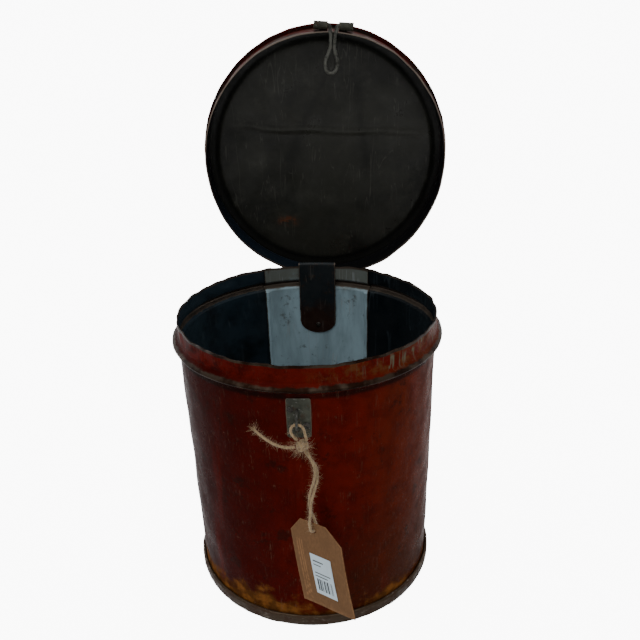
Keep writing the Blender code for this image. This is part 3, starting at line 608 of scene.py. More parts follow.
@once
def skirt_inside():
    """Black lacquer inside the skirt, with a painted bluish sheen low on the left, and a bare edge at the
    mouth.
    """
    n = Nodes("skirt_inside", 0.36, 0.0)
    # Painted sheen: lighter bluish lacquer low on the left of the open lid.
    low = n.math("MULTIPLY", n.range(n.axis(2), 0.38, 0.30), n.range(n.axis(0), 0.02, -0.04))
    colour = n.mix(low, (0.004, 0.004, 0.0045), (0.007, 0.012, 0.019))
    colour = n.mix(n.scratches(120, 0.010, (0.2, 0.8, 0), 0.54), colour, (0.022, 0.025, 0.028))
    edge = n.math("ADD", n.mark("bare"), n.math("MULTIPLY", n.noise(110, 5.0, 0.65), 0.5))
    edge = n.range(edge, 0.72, 0.92)
    colour = n.mix(edge, colour, (0.17, 0.135, 0.11))
    return n.finish(colour, n.blend(edge, 0.34, 0.45), n.math("MULTIPLY", edge, 0.8),
                    n.noise(60, 5.0), 0.3 * MM, 0.5)


@once
def lid_paint():
    """The skirt's outside: dusty brown-red over steel, rubbed bare along the mouth."""
    n = Nodes("lid_paint", 0.5, 0.0, 0.1)
    red = tuple(colours().paint)
    colour = n.mix(n.range(n.noise(42, 6.0, 0.65), 0.38, 0.64), shade(red, 0.9), (0.042, 0.033, 0.026))
    colour = n.mix(n.range(n.noise(120, 5.0, 0.7), 0.52, 0.68, 0.0, 0.6), colour, (0.018, 0.008, 0.005))
    line = n.scratches(150, 0.02, (0.4, 0.3, 0), 0.50)
    colour = n.mix(n.math("MULTIPLY", line, 0.4), colour, (0.12, 0.085, 0.065))
    edge = n.range(n.math("ADD", n.mark("bare"), n.math("MULTIPLY", n.noise(110, 5.0, 0.65), 0.6)),
                   0.55, 0.85)
    colour = n.mix(edge, colour, (0.14, 0.11, 0.09))
    return n.finish(colour, n.range(n.noise(70, 5.0), 0.3, 0.7, 0.38, 0.62),
                    n.math("MULTIPLY", edge, 0.8), n.noise(40, 5.0, 0.6), 0.5 * MM, 0.6)


@once
def lid_top():
    """The lid's outside: worn red paint with a rusty ring near its rim and long scuffs."""
    n = Nodes("lid_top", 0.45, 0.0, 0.06)
    n.shader.inputs["IOR"].default_value = 1.22
    red = tuple(colours().paint)
    colour = n.mix(n.range(n.noise(15, 6.0, 0.65), 0.36, 0.64), red, shade(red, 0.4))
    colour = n.mix(n.range(n.noise(60, 6.0, 0.7), 0.55, 0.7, 0.0, 0.8), colour, tuple(colours().rust))
    lines = n.math("MAXIMUM", n.scratches(60, 0.02, (0.1, 0.9, 0), 0.46),
                   n.scratches(90, 0.02, (0.3, 2.2, 0), 0.5))
    colour = n.mix(n.math("MULTIPLY", lines, 0.35), colour, (0.11, 0.075, 0.055))
    return n.finish(colour, n.range(n.noise(45, 5.0), 0.3, 0.7, 0.32, 0.62), None,
                    n.noise(36, 5.0, 0.6), 0.6 * MM, 0.6)


@once
def strap_finish():
    """Blue-black strap, dull maroon towards its foot, with brown rust in its pits and bright edges."""
    n = Nodes("strap_finish", 0.45, 0.2)
    level = n.math("ADD", n.axis(2), n.math("MULTIPLY", n.math("SUBTRACT", n.noise(50, 5.0), 0.5), 0.05))
    colour = n.mix(n.range(level, 0.222, 0.245), (0.018, 0.0085, 0.006), (0.010, 0.013, 0.015))
    colour = n.mix(n.range(n.noise(110, 6.0, 0.7), 0.52, 0.68, 0.0, 0.5), colour, (0.032, 0.016, 0.008))
    line = n.scratches(170, 0.02, (0.2, 0, 0), 0.50)
    colour = n.mix(n.math("MULTIPLY", line, 0.4), colour, (0.075, 0.07, 0.06))
    edge = n.range(n.math("ADD", n.mark("bare"), n.math("MULTIPLY", n.noise(170, 4.0), 0.6)), 0.85, 1.05)
    colour = n.mix(edge, colour, (0.10, 0.08, 0.065))
    return n.finish(colour, n.range(n.noise(80, 5.0), 0.3, 0.7, 0.36, 0.6), n.blend(edge, 0.15, 0.8),
                    n.noise(170, 5.0, 0.6), 0.3 * MM, 0.7)


@once
def grey_green():
    """Chalky grey-green paint on plate and tabs, rubbed to brown and grey on edges and high spots."""
    n = Nodes("grey_green", 0.6, 0.1)
    base = tuple(colours().fittings)
    colour = n.mix(n.range(n.noise(80, 6.0, 0.65), 0.36, 0.66), base, shade(base, 0.5))
    colour = n.mix(n.range(n.noise(150, 5.0, 0.7), 0.54, 0.64, 0.0, 0.75), colour, (0.035, 0.020, 0.011))
    colour = n.mix(n.range(n.noise(260, 4.0, 0.6), 0.60, 0.68, 0.0, 0.7), colour, (0.14, 0.145, 0.125))
    edge = n.range(n.math("ADD", n.mark("bare"), n.math("MULTIPLY", n.noise(200, 4.0), 0.6)), 0.8, 1.0)
    colour = n.mix(edge, colour, (0.10, 0.08, 0.058))
    return n.finish(colour, n.range(n.noise(120, 5.0), 0.3, 0.7, 0.45, 0.75), n.blend(edge, 0.1, 0.7),
                    n.noise(230, 5.0, 0.65), 0.3 * MM, 0.8)


@once
def iron_wire():
    """Aged iron wire: brown-black with rubbed grey spots and a grainy skin."""
    n = Nodes("iron_wire", 0.5, 0.6)
    base = tuple(colours().wire)
    colour = n.mix(n.range(n.noise(140, 5.0, 0.65), 0.45, 0.62), base, shade(base, 0.35))
    colour = n.mix(n.range(n.noise(330, 4.0), 0.55, 0.66, 0.0, 0.6), colour, (0.10, 0.098, 0.085))
    return n.finish(colour, n.range(n.noise(200, 5.0), 0.35, 0.65, 0.34, 0.62), None,
                    n.noise(420, 4.0), 0.15 * MM, 0.7)


@once
def rivet_finish():
    """Hammered rivet heads, grey on top and dark in their pits."""
    n = Nodes("rivet_finish", 0.42, 0.7)
    colour = n.mix(n.range(n.noise(420, 5.0, 0.65), 0.42, 0.62), (0.060, 0.056, 0.050), (0.012, 0.009, 0.007))
    return n.finish(colour, n.range(n.noise(300, 4.0), 0.4, 0.6, 0.32, 0.6), None,
                    n.cells(500), 0.25 * MM, 0.6)


@once
def jute():
    """Jute yarn: straw and tan fibres that wind round the twine, with darker gaps between plies."""
    n = Nodes("jute", 0.95, 0.0)
    base = tuple(colours().twine)
    fibre = n.noise(900, 5.0, 0.7, n.stretched((1, 0.5, 0.35), (0.5, 0.3, 0.2)))
    colour = n.mix(n.range(fibre, 0.34, 0.66), shade(base, 0.55), shade(base, 1.15))
    colour = n.mix(n.range(n.noise(130, 4.0), 0.4, 0.7, 0.0, 0.45), colour, shade(base, 0.6))
    n.shader.inputs["Sheen Weight"].default_value = 0.35
    n.shader.inputs["Sheen Roughness"].default_value = 0.5
    return n.finish(colour, None, None, fibre, 0.25 * MM, 0.9)


@once
def kraft():
    """Brown kraft card: short fibres, soft stains, pale rules near its left edge and rubbed edges."""
    n = Nodes("kraft", 0.88, 0.0)
    base = tuple(colours().card)
    fibre = n.noise(700, 5.0, 0.7, n.stretched((1, 1, 0.4), (0.3, 0.4, 0)))
    colour = n.mix(n.range(fibre, 0.35, 0.65), shade(base, 0.86), shade(base, 1.1))
    colour = n.mix(n.range(n.noise(40, 5.0, 0.6), 0.42, 0.7, 0.0, 0.5), colour, shade(base, 0.72))
    rule = n.range(n.noise(240, 3.0), 0.38, 0.52, 0.25, 0.8)
    colour = n.mix(n.math("MULTIPLY", n.mark("rules"), rule), colour, shade(base, 2.1))
    worn = n.math("MULTIPLY", n.mark("worn"), n.range(n.noise(260, 4.0), 0.35, 0.6))
    colour = n.mix(n.math("MULTIPLY", worn, 0.6), colour, shade(base, 1.6))
    return n.finish(colour, None, None, fibre, 0.12 * MM, 0.5)


@once
def label_paper():
    """White paper with plain printed bars and grey rules, none of them a letter or a digit."""
    n = Nodes("label_paper", 0.7, 0.0)
    base = tuple(colours().label)
    colour = n.mix(n.range(n.noise(300, 4.0), 0.35, 0.7, 0.0, 0.3), base, shade(base, 0.86))
    ink = n.mark("ink")
    colour = n.mix(n.range(ink, 0.35, 0.6), colour, (0.022, 0.02, 0.02))
    return n.finish(colour, None, None, n.noise(800, 3.0), 0.05 * MM, 0.4)


# ---- can ----

def bead(height, rough):
    """The bulge of the rolled bead: the square of a cosine across its width, cut a little by rough."""
    across = np.clip(np.abs(height - BEAD_Z) / BEAD_HALF, 0, 1)
    return BEAD_BULGE * np.cos(across * np.pi / 2) ** 2 * (0.95 + 0.05 * np.clip(rough, -1, 1))


def wall_heights(low):
    """Heights up the wall: wide steps on the plain stretch and fine ones over the bead and neck."""
    plain = np.linspace(low, BEAD_Z - 12 * MM, 70)
    rolled = np.linspace(BEAD_Z - 10 * MM, BEAD_Z + 8 * MM, 34)
    neck = np.linspace(BEAD_Z + 9.5 * MM, RIM_Z, 12)
    return np.concatenate([plain, rolled, neck])


def wall(start, end, steps, step_in, low, dent, seed):
    """Outer and inner skins of a wall between two angles. The radius is the neck's less step_in,
    plus the bead, less dents that fade at the foot seam and behind the staple plate, and less small
    hollows round the neck, which stay clear of the shut lid."""
    angle = np.linspace(start, end, steps)[:, None]
    height = wall_heights(low)[None, :]
    spot = around(angle, NECK_R, height)
    wide, small = bumps(spot, 150 * MM, seed), bumps(spot, 42 * MM, seed + 1)
    free = smooth_step(height, PAN_TOP, PAN_TOP + 40 * MM) * (1 - smooth_step(height, 0.25, 0.258))
    front = np.exp(-((angle - math.pi) / 0.18) ** 2) * smooth_step(height, 0.20, 0.215)
    rise = dent * free * (0.65 * wide + 0.35 * small) * (1 - 0.85 * front)
    neck = smooth_step(height, BEAD_Z + 5 * MM, BEAD_Z + 10 * MM)
    seam = smooth_step(np.minimum(angle, 2 * math.pi - angle), PANEL_HALF, PANEL_HALF + 0.15)
    rise = rise - neck * seam * 0.6 * MM * (1 - np.clip(bumps(spot, 24 * MM, seed + 2), -1, 1))
    radius = NECK_R - step_in + bead(height, bumps(spot, 40 * MM, seed + 3)) + rise
    edge = (smooth_step(height, RIM_Z - 8 * MM, RIM_Z)
            * (0.45 * bumps(around(angle, NECK_R, 0 * height), 24 * MM, seed + 4) - 0.65))
    level = height + edge * 1.6 * MM + 0 * angle
    bare = (np.exp(-((height - BEAD_Z + 0.4 * MM) / (3.6 * MM)) ** 2) * 1.05
            + 1.2 * smooth_step(height, RIM_Z - 4.0 * MM, RIM_Z - 0.5 * MM))
    bare = bare + 0 * angle
    return angle, radius, level, bare


def close_wall(outer, inner, bare, zones):
    """One closed section: up the outer skin and down the inner one."""
    grid = np.concatenate([outer, inner[:, ::-1]], 1)
    marks = np.concatenate([bare, bare[:, ::-1]], 1)
    count = outer.shape[1]
    zone = np.concatenate([np.full(count, zones[0]), np.full(count, zones[1])])
    return grid, marks, zone


def build_front_sheet():
    angle, radius, level, bare = wall(FRONT_FROM, 2 * math.pi - FRONT_FROM, 330, 0.0, LAP_STEP,
                                      sizes().dent, 11)
    outer = around(angle, radius, level)
    inner = around(angle, radius - SHEET, level)
    grid, marks, zone = close_wall(outer, inner, bare, (0, 1))
    surface = Surface().add(grid, close_columns=True, cap_rows=True, zones=zone[None, :], bare=marks)
    return surface.make("front_sheet", "can", [worn_paint(), inside_sheet()], ["body_front_sheet"],
                        "red_paint")


def build_back_panel():
    """The panel between the seams. Its two upright edges are folded inwards into narrow ridges."""
    angle, radius, level, bare = wall(-PANEL_HALF, PANEL_HALF, 90, LAP_STEP, LAP_STEP, 0.0, 31)
    spot = around(angle, NECK_R, level)
    radius = radius - 0.25 * MM * (1 + bumps(spot, 60 * MM, 33))
    to_edge = (PANEL_HALF - np.abs(angle)) * NECK_R
    fold = np.exp(-((to_edge - 2.6 * MM) / (1.7 * MM)) ** 2) * (level < BEAD_Z - 6 * MM)
    fold = fold * (1 + 0.3 * bumps(spot, 30 * MM, 34))
    inner = around(angle, radius - SHEET - 1.5 * MM * fold, level)
    outer = around(angle, radius, level)
    seam = np.exp(-(to_edge / (1.5 * MM)) ** 2) * 0.7
    grid, marks, zone = close_wall(outer, inner, np.maximum(bare, seam), (0, 1))
    surface = Surface().add(grid, close_columns=True, cap_rows=True, zones=zone[None, :], bare=marks)
    return surface.make("back_panel", "can", [worn_paint(), panel_paint()], ["body_back_panel"],
                        "panel_paint")


def build_bottom_pan():
    """A flat pan whose edge is folded up round the wall. The fold's top and its outer radius wander."""
    steps = 300
    angle = np.linspace(0, 2 * math.pi, steps, endpoint=False)[:, None]
    middle = (SEAM_INNER_R + PAN_R) / 2
    roll_r = (PAN_R - SEAM_INNER_R) / 2
    roll = arc((middle, PAN_TOP - roll_r), roll_r, 180, 0, 10)
    floor = [(r * MM, SHEET) for r in (8, 30, 55, 80, 100, 112)]
    section = floor + [(SEAM_INNER_R, SHEET), (SEAM_INNER_R, PAN_TOP - roll_r - MM)]
    section += [tuple(p) for p in roll]
    section += [(PAN_R, PAN_TOP - 4 * MM), (PAN_R, 6 * MM), (PAN_R, 2.5 * MM), (PAN_R - 0.5 * MM, 0.6 * MM),
                (PAN_R - 1.3 * MM, 0.0)]
    section += [(r * MM, 0.0) for r in (112, 100, 80, 55, 30, 8)]
    radius, height = np.array(section).T[:, None, :]
    spot = around(angle, PAN_R, 0 * radius)
    outside = smooth_step(radius, middle - MM, PAN_R)
    waves = np.clip(bumps(spot, 24 * MM, 51) * 0.6 + bumps(spot, 9 * MM, 52) * 0.4, -1, 1)
    radius = radius - outside * 0.8 * MM * (1 + waves) / 2
    lift = smooth_step(height, 6 * MM, PAN_TOP) * (outside * 0.6 + 0.4)
    height = height - lift * 1.6 * MM * (1 + np.clip(bumps(spot, 33 * MM, 53), -1, 1)) / 2
    grid = around(angle, radius, height)
    surface = Surface().add(grid, close_rows=True, hub_columns=True)
    return surface.make("bottom_pan_folded", "can", [bare_steel()], ["bottom_pan"], "bare_steel")


# ---- straps, tabs and plates ----

def strip(surface, path, half_widths, thickness, side, x_middle=0.0, foot_round=0.0, flat_from=None,
          tilt=0.0, steps=24, ragged=0.0, seed=0):
    """A strip of sheet carried along a path of (distance out, height) and wrapped on the wall.

    A point goes sideways by its half width times a parameter from -1 to 1, and back by the drop of
    the circle behind it, until the path's point flat_from. The foot's rounding is a half circle."""
    path = np.asarray(path, float)
    one, other = sheet_section(path, thickness / 2)
    count = len(path)
    u = np.sin(np.linspace(-np.pi / 2, np.pi / 2, steps + 1))[:, None]
    order = np.arange(count)
    flat = np.zeros(count) if flat_from is None else np.clip((order - flat_from + 4) / 4, 0, 1)
    wide = np.asarray(half_widths, float)[None, :]
    lift = foot_round * (1 - np.sqrt(np.clip(1 - u * u, 0, 1)))
    fade = np.clip(1 - (path[:, 1] - path[0, 1]) / (3 * max(foot_round, MM)), 0, 1)[None, :]
    fade = fade * (order < count / 2)[None, :]
    shapes = []
    for face in (one, other):
        out, height = face[:, 0][None, :], face[:, 1][None, :]
        x = wide * u * (1 + ragged * bumps(np.stack([u * 0 + out, u * 0 + height, 0 * u * out + 3 * u],
                                                    -1), 12 * MM, seed) * np.abs(u) ** 6)
        drop = (1 - flat)[None, :] * (out - np.sqrt(out * out - x * x))
        level = height + lift * fade + flat[None, :] * x * math.tan(tilt)
        shapes.append(np.stack([x_middle + x, side * (out - drop), level], -1))
    grid = np.concatenate([shapes[0], shapes[1][:, ::-1]], 1)
    edge = np.abs(u) ** 10 + 0 * np.concatenate([path[:, 0], path[:, 0]])[None, :]
    along = np.zeros(count)
    along[0] = along[-1] = 1
    edge = np.maximum(edge, np.concatenate([along, along[::-1]])[None, :] * 0.7)
    return surface.add(grid, close_columns=True, cap_rows=True, bare=edge)


def denser(path, spacing):
    """The path with points added on its straight runs, so that none is longer than the spacing."""
    path = np.asarray(path, float)
    pieces = []
    for a, b in zip(path, path[1:]):
        count = max(1, math.ceil(np.linalg.norm(b - a) / spacing))
        pieces.append(a + (b - a) * (np.arange(count) / count)[:, None])
    return np.vstack(pieces + [path[-1:]])


def body_strap_path():
    """Up the inside, over the rim, down the outside of the neck and over the bead to the knuckle."""
    inside = NECK_R - LAP_STEP - SHEET - GAP - SHEET / 2
    outside = NECK_R + GAP + SHEET / 2
    shoulder = NECK_R + BEAD_BULGE + GAP + SHEET / 2
    path = [(inside, STRAP_FOOT_Z), (inside, RIM_Z - 2 * MM)]
    path += arc(((inside + outside) / 2, RIM_Z - 0.4 * MM), (outside - inside) / 2, 180, 0, 14).tolist()
    path += [(outside, BEAD_Z + 7.4 * MM), (outside + 0.8 * MM, BEAD_Z + 5.4 * MM)]
    path += [(shoulder - 2.6 * MM, BEAD_Z + 3.7 * MM), (shoulder, BEAD_Z + 0.6 * MM)]
    return denser(path, 3 * MM), (shoulder + 0.9 * MM, BEAD_Z - 4 * MM)


def build_body_strap():
    path, ledge = body_strap_path()
    knuckle = arc((HINGE.y, HINGE.z), KNUCKLE_MID_R, 180, 490, 36)
    surface = Surface()
    main = np.vstack([path, [ledge]])
    strip(surface, main, [STRAP_HALF] * len(main), SHEET, 1, 0, STRAP_HALF * 0.8, len(main) - 1,
          HINGE_TILT, 40, 0.012, 61)
    finger = (STRAP_HALF - FINGER_INNER) / 2
    for side in (-1, 1):
        middle = side * (FINGER_INNER + finger)
        bend = np.vstack([path[-1:], [ledge], knuckle])
        bend = bend + (0, middle * math.tan(HINGE_TILT))
        strip(surface, bend, [finger] * len(bend), SHEET, 1, middle, 0, 0, HINGE_TILT, 10, 0.01, 62)
    return surface.make("hinge_strap_can", "can", [strap_finish()], ["hinge_body_strap"], "dark_sheet")


def build_lid_strap():
    outside = LID_OUTER_R + GAP + SHEET / 2
    path = [(outside, LID_MOUTH_Z + 22 * MM), (outside, LID_MOUTH_Z + 6 * MM)]
    path += [(outside + 1.4 * MM, LID_MOUTH_Z + 1.5 * MM), (outside + 4.6 * MM, LID_MOUTH_Z - 3 * MM)]
    path = denser(path, 2 * MM)
    tongue = np.vstack([[(HINGE.y + 1.2 * MM, HINGE.z + 7.4 * MM)],
                        arc((HINGE.y, HINGE.z), KNUCKLE_MID_R, 20, -230, 30)])
    below = smooth_step(path[:, 1], LID_MOUTH_Z - 3 * MM, LID_MOUTH_Z + 4 * MM)
    widths = TONGUE_HALF + (LID_STRAP_HALF - TONGUE_HALF) * below
    whole = np.vstack([path, tongue])
    widths = np.concatenate([widths, [TONGUE_HALF] * len(tongue)])
    surface = strip(Surface(), whole, widths, SHEET, 1, 0, 0, len(path), HINGE_TILT, 20, 0.012, 64)
    return surface.make("hinge_strap_lid", "lid", [strap_finish()], ["hinge_lid_strap"], "dark_sheet",
                        OPENING)


def build_keepers():
    """Two tabs, flat on the skirt and rolled round the ends of the hasp wire."""
    outside = LID_OUTER_R + GAP + KEEPER_SHEET / 2
    path = [(outside, LID_MOUTH_Z + 16 * MM), (outside, LID_MOUTH_Z + 5 * MM)]
    path += [(outside + 1.8 * MM, LID_MOUTH_Z + 2.4 * MM)]
    roll = arc((KEEPER_Y, KEEPER_Z), KEEPER_MID_R, 62, -200, 30)
    path = np.vstack([denser(path, 2 * MM), roll])
    for side, word in ((-1, "left"), (1, "right")):
        widths = np.full(len(path), KEEPER_HALF)
        surface = strip(Surface(), path, widths, KEEPER_SEEN, -1, side * KEEPER_X, 0, 0, 0, 10,
                        0.05, 70 + side)
        surface.make("hasp_tab_" + word, "lid", [grey_green()], ["hasp_keeper_" + word],
                     "grey_green_sheet", OPENING)


def build_plate():
    """A small plate wrapped on the wall, its outline slightly ragged and its corners drawn in."""
    out = NECK_R + GAP + KEEPER_SHEET / 2
    heights = np.linspace(PLATE_LOW.z, PLATE_HIGH.z, 40)
    path = np.stack([np.full(40, out), heights], 1)
    to_end = np.minimum(heights - PLATE_LOW.z, PLATE_HIGH.z - heights) / (2.2 * MM)
    widths = PLATE_HALF - 1.6 * MM * (1 - np.sqrt(1 - (1 - np.clip(to_end, 0, 1)) ** 2))
    surface = strip(Surface(), path, widths, KEEPER_SHEET, -1, 0, 0, None, 0, 22, 0.03, 75)
    surface.make("staple_back_plate", "can", [grey_green()], ["staple_plate"], "grey_green_sheet",
                 Matrix.Rotation(PLATE_TURN, 4, "Z"))


# ---- wire, pin and rivets ----

def add_wire(surface, line, radius, sides=20, seed=0):
    """A round wire along a line, its skin a little uneven, with ends rounded off by shrinking rings."""
    line = np.asarray(line, float)
    far = np.concatenate([[0], np.cumsum(np.linalg.norm(np.diff(line, axis=0), axis=1))])
    to_end = np.clip(np.minimum(far, far[-1] - far) / (0.5 * radius), 0, 1)
    girth = radius * (0.72 + 0.28 * np.sqrt(1 - (1 - to_end) ** 2))
    rings = carried(line, girth, sides, rough=0.025, seed=seed)
    return surface.add(rings, close_columns=True, cap_rows=True)


def hasp_line():
    """The wire from one end, down one strand, round the eye and up the other strand."""
    strand, bend, elbow_x = 1.95 * MM, 3.0 * MM, 6.2 * MM
    side = [(17.5 * MM, 0.0), (14.7 * MM, 0.0), (12.0 * MM, 0.0), (9.0 * MM, 0.0)]
    angle = np.radians(np.linspace(90, 22, 7))
    side += np.stack([elbow_x - bend * np.cos(angle), bend - bend * np.sin(angle)], 1).tolist()
    side += [(2.7 * MM, 5.5 * MM), (strand, 9.5 * MM), (strand, 14.5 * MM), (strand, 19.5 * MM)]
    angle = np.radians([50, 25, 0, -25, -50, -72])
    half_high = HASP_REACH - HASP_EYE_MIDDLE
    eye = np.stack([HASP_EYE_HALF * np.cos(angle) ** 0.8, HASP_EYE_MIDDLE - half_high * np.sin(angle)], 1)
    side += eye.tolist() + [(0.0, HASP_REACH)]
    side = np.array(side)
    whole = np.vstack([side, side[-2::-1] * (-1, 1)])
    across = OPENING.to_3x3() @ Vector((1, 0, 0))
    hang = Vector((0, 0, -1)) - across * Vector((0, 0, -1)).dot(across)
    hang.normalize()
    return np.array(HASP_PIVOT) + whole[:, :1] * np.array(across) + whole[:, 1:] * np.array(hang)


def build_hasp():
    surface = add_wire(Surface(), evened(hasp_line(), 0.9 * MM), HASP_WIRE_R, 22, 81)
    surface.make("hasp_wire_bent", "hasp", [iron_wire()], ["hasp_wire"], "iron_wire")


def build_staple():
    root, corner = NECK_R - SHEET - 1.6 * MM, 4 * MM
    line = [(root, STAPLE_TOP_Z), (NECK_R + 3 * MM, STAPLE_TOP_Z)]
    line += arc((STAPLE_OUT - corner, STAPLE_TOP_Z - corner), corner, 90, 0, 6).tolist()
    line += arc((STAPLE_OUT - corner, STAPLE_LOW_Z + corner), corner, 0, -90, 6).tolist()
    line += [(NECK_R + 3 * MM, STAPLE_LOW_Z), (root, STAPLE_LOW_Z)]
    line = [(STAPLE_X, -out, height) for out, height in line]
    surface = add_wire(Surface(), evened(line, 0.7 * MM), STAPLE_WIRE_R, 18, 83)
    surface.make("staple_wire", "can", [iron_wire()], ["staple"], "iron_wire")


def build_pin():
    half = STRAP_HALF + 1.5 * MM
    along = np.linspace(-half, half, 60)[:, None]
    line = np.array(HINGE) + along * np.array(HINGE_AXIS)
    surface = add_wire(Surface(), line, PIN_R, 20, 85)
    surface.make("hinge_pin_rod", "can", [bare_steel()], ["hinge_pin"], "bare_steel")


def on_wall(x, height, radius, side):
    """A point at that height on a round wall, and the way out from it."""
    point = Vector((x, side * math.sqrt(radius * radius - x * x), height))
    return point, Vector((point.x, point.y, 0)).normalized()


def build_rivet(node, body, point, outward, grip, finish, moved=None, seed=0, flush=False):
    """A hammered head on a shank: a profile turned about the rivet's axis, its dome dented by bumps."""
    dome = np.radians(np.linspace(88, 0, 12))
    head = np.stack([RIVET_HEAD_R * np.cos(dome), RIVET_HEAD_H * np.sin(dome) ** 0.8], 1).tolist()
    section = head + [(RIVET_R, 0.0), (RIVET_R, -grip)]
    if not flush:
        tail = RIVET_HEAD_R - 0.6 * MM
        section += [(tail, -grip), (tail, -grip - 0.6 * MM), (tail - 0.4 * MM, -grip - 0.9 * MM)]
    section += [(0.2 * MM, section[-1][1])]
    radius, height = np.array(section).T[:, None, :]
    angle = np.linspace(0, 2 * math.pi, 32, endpoint=False)[:, None]
    spot = around(angle, radius, height)
    radius = radius * (1 - 0.05 * (height > -0.1 * MM) * (1 + np.clip(bumps(spot, 4 * MM, seed), -1, 1)))
    height = height - 0.12 * MM * (height > 0.5 * MM) * (1 + np.clip(bumps(spot, 2.2 * MM, seed + 1), -1, 1))
    turn = np.array(outward.to_track_quat("Z", "Y").to_matrix())
    grid = np.array(point) + around(angle, radius, height) @ turn.T
    surface = Surface().add(grid, close_rows=True, hub_columns=True)
    surface.make(node + "_head", body, [finish], [node], None, moved)


def build_rivets():
    """Every rivet of the can, the plate, the lid's strap and the hasp's tabs."""
    inside = NECK_R - LAP_STEP - 2 * SHEET - 2 * GAP
    spot = Vector((0, inside, STRAP_FOOT_Z + 10 * MM))
    build_rivet("body_strap_rivet", "can", spot, Vector((0, -1, 0)), 2 * SHEET + 3 * GAP, rivet_finish(),
                None, 101)
    for number, (x, height, word) in enumerate(((-3.6, 243, "upper"), (9.8, 228, "lower"))):
        point, out = on_wall(x * MM, height * MM, NECK_R + 2 * GAP + KEEPER_SHEET, -1)
        build_rivet("plate_rivet_" + word, "can", point, out, SHEET + KEEPER_SHEET + 3 * GAP,
                    rivet_finish(), None, 110 + 5 * number)
    for side, word in ((-1, "left"), (1, "right")):
        point, out = on_wall(side * 9 * MM, LID_MOUTH_Z + 14 * MM, LID_OUTER_R + 2 * GAP + SHEET, 1)
        build_rivet("lid_strap_rivet_" + word, "lid", point, out, 2 * SHEET + 2 * GAP, rivet_finish(),
                    OPENING, 130 + side, True)
        point = on_wall(side * KEEPER_X, LID_MOUTH_Z + 11 * MM, LID_OUTER_R + 1.9 * MM, -1)[0]
        build_rivet("keeper_rivet_" + word, "lid", point, Vector((0, -1, 0)),
                    KEEPER_SHEET + SHEET + 1.9 * MM, rivet_finish(), OPENING, 140 + side)


# ---- lid ----

def build_skirt():
    """A ring wall with an outward flange. Its radius has dents and its mouth's edge wanders."""
    angle = np.linspace(0, 2 * math.pi, 300, endpoint=False)[:, None]
    flange_r = LID_SEAM_R - SHEET - GAP
    top = LID_FLOOR_Z
    wall_z = np.linspace(LID_MOUTH_Z, top - SHEET - 2.4 * MM, 16)
    outer = [(LID_OUTER_R, z) for z in wall_z] + [(LID_OUTER_R + MM, top - SHEET - 0.6 * MM)]
    outer += [(flange_r, top - SHEET)]
    inner = [(flange_r, top), (LID_OUTER_R, top), (LID_INNER_R + 0.2 * MM, top - 0.8 * MM),
             (LID_INNER_R, top - 2.4 * MM)] + [(LID_INNER_R, z) for z in wall_z[-2::-1]]
    section = np.array(outer + inner)
    radius, height = section.T[:, None, :]
    spot = around(angle, LID_OUTER_R, height)
    free = 1 - smooth_step(height, top - 12 * MM, top - 4 * MM)
    rear = np.exp(-(np.minimum(angle, 2 * math.pi - angle) / 0.16) ** 2)
    front = np.exp(-((angle - math.pi) / 0.2) ** 2)
    calm = 1 - 0.9 * np.maximum(rear, front)
    dents = 0.65 * bumps(spot, 75 * MM, 91) + 0.35 * bumps(spot, 28 * MM, 92)
    radius = radius + free * calm * sizes().lid_dent * dents
    mouth = 1 - smooth_step(height, LID_MOUTH_Z, LID_MOUTH_Z + 8 * MM)
    height = height + mouth * calm * 0.6 * MM * (0.4 + 0.6 * bumps(around(angle, LID_OUTER_R, 0 * radius),
                                                                   45 * MM, 93))
    grid = around(angle, radius, height)
    bare = mouth ** 2 + 0 * angle
    zone = np.concatenate([np.zeros(len(outer), int), np.ones(len(inner), int)])
    surface = Surface().add(grid, close_rows=True, close_columns=True, zones=zone[None, :], bare=bare)
    surface.make("lid_ring", "lid", [lid_paint(), skirt_inside()], ["lid_skirt"], "red_paint", OPENING)


def soft_line(x, y, start, end):
    """A streak about 5 mm to each side of a straight line: a bell curve of the distance from it."""
    start, end = np.array(start) * MM, np.array(end) * MM
    way = end - start
    share = np.clip(((x - start[0]) * way[0] + (y - start[1]) * way[1]) / way.dot(way), 0, 1)
    away = np.hypot(x - start[0] - share * way[0], y - start[1] - share * way[1])
    return np.exp(-(away / (5 * MM)) ** 2)


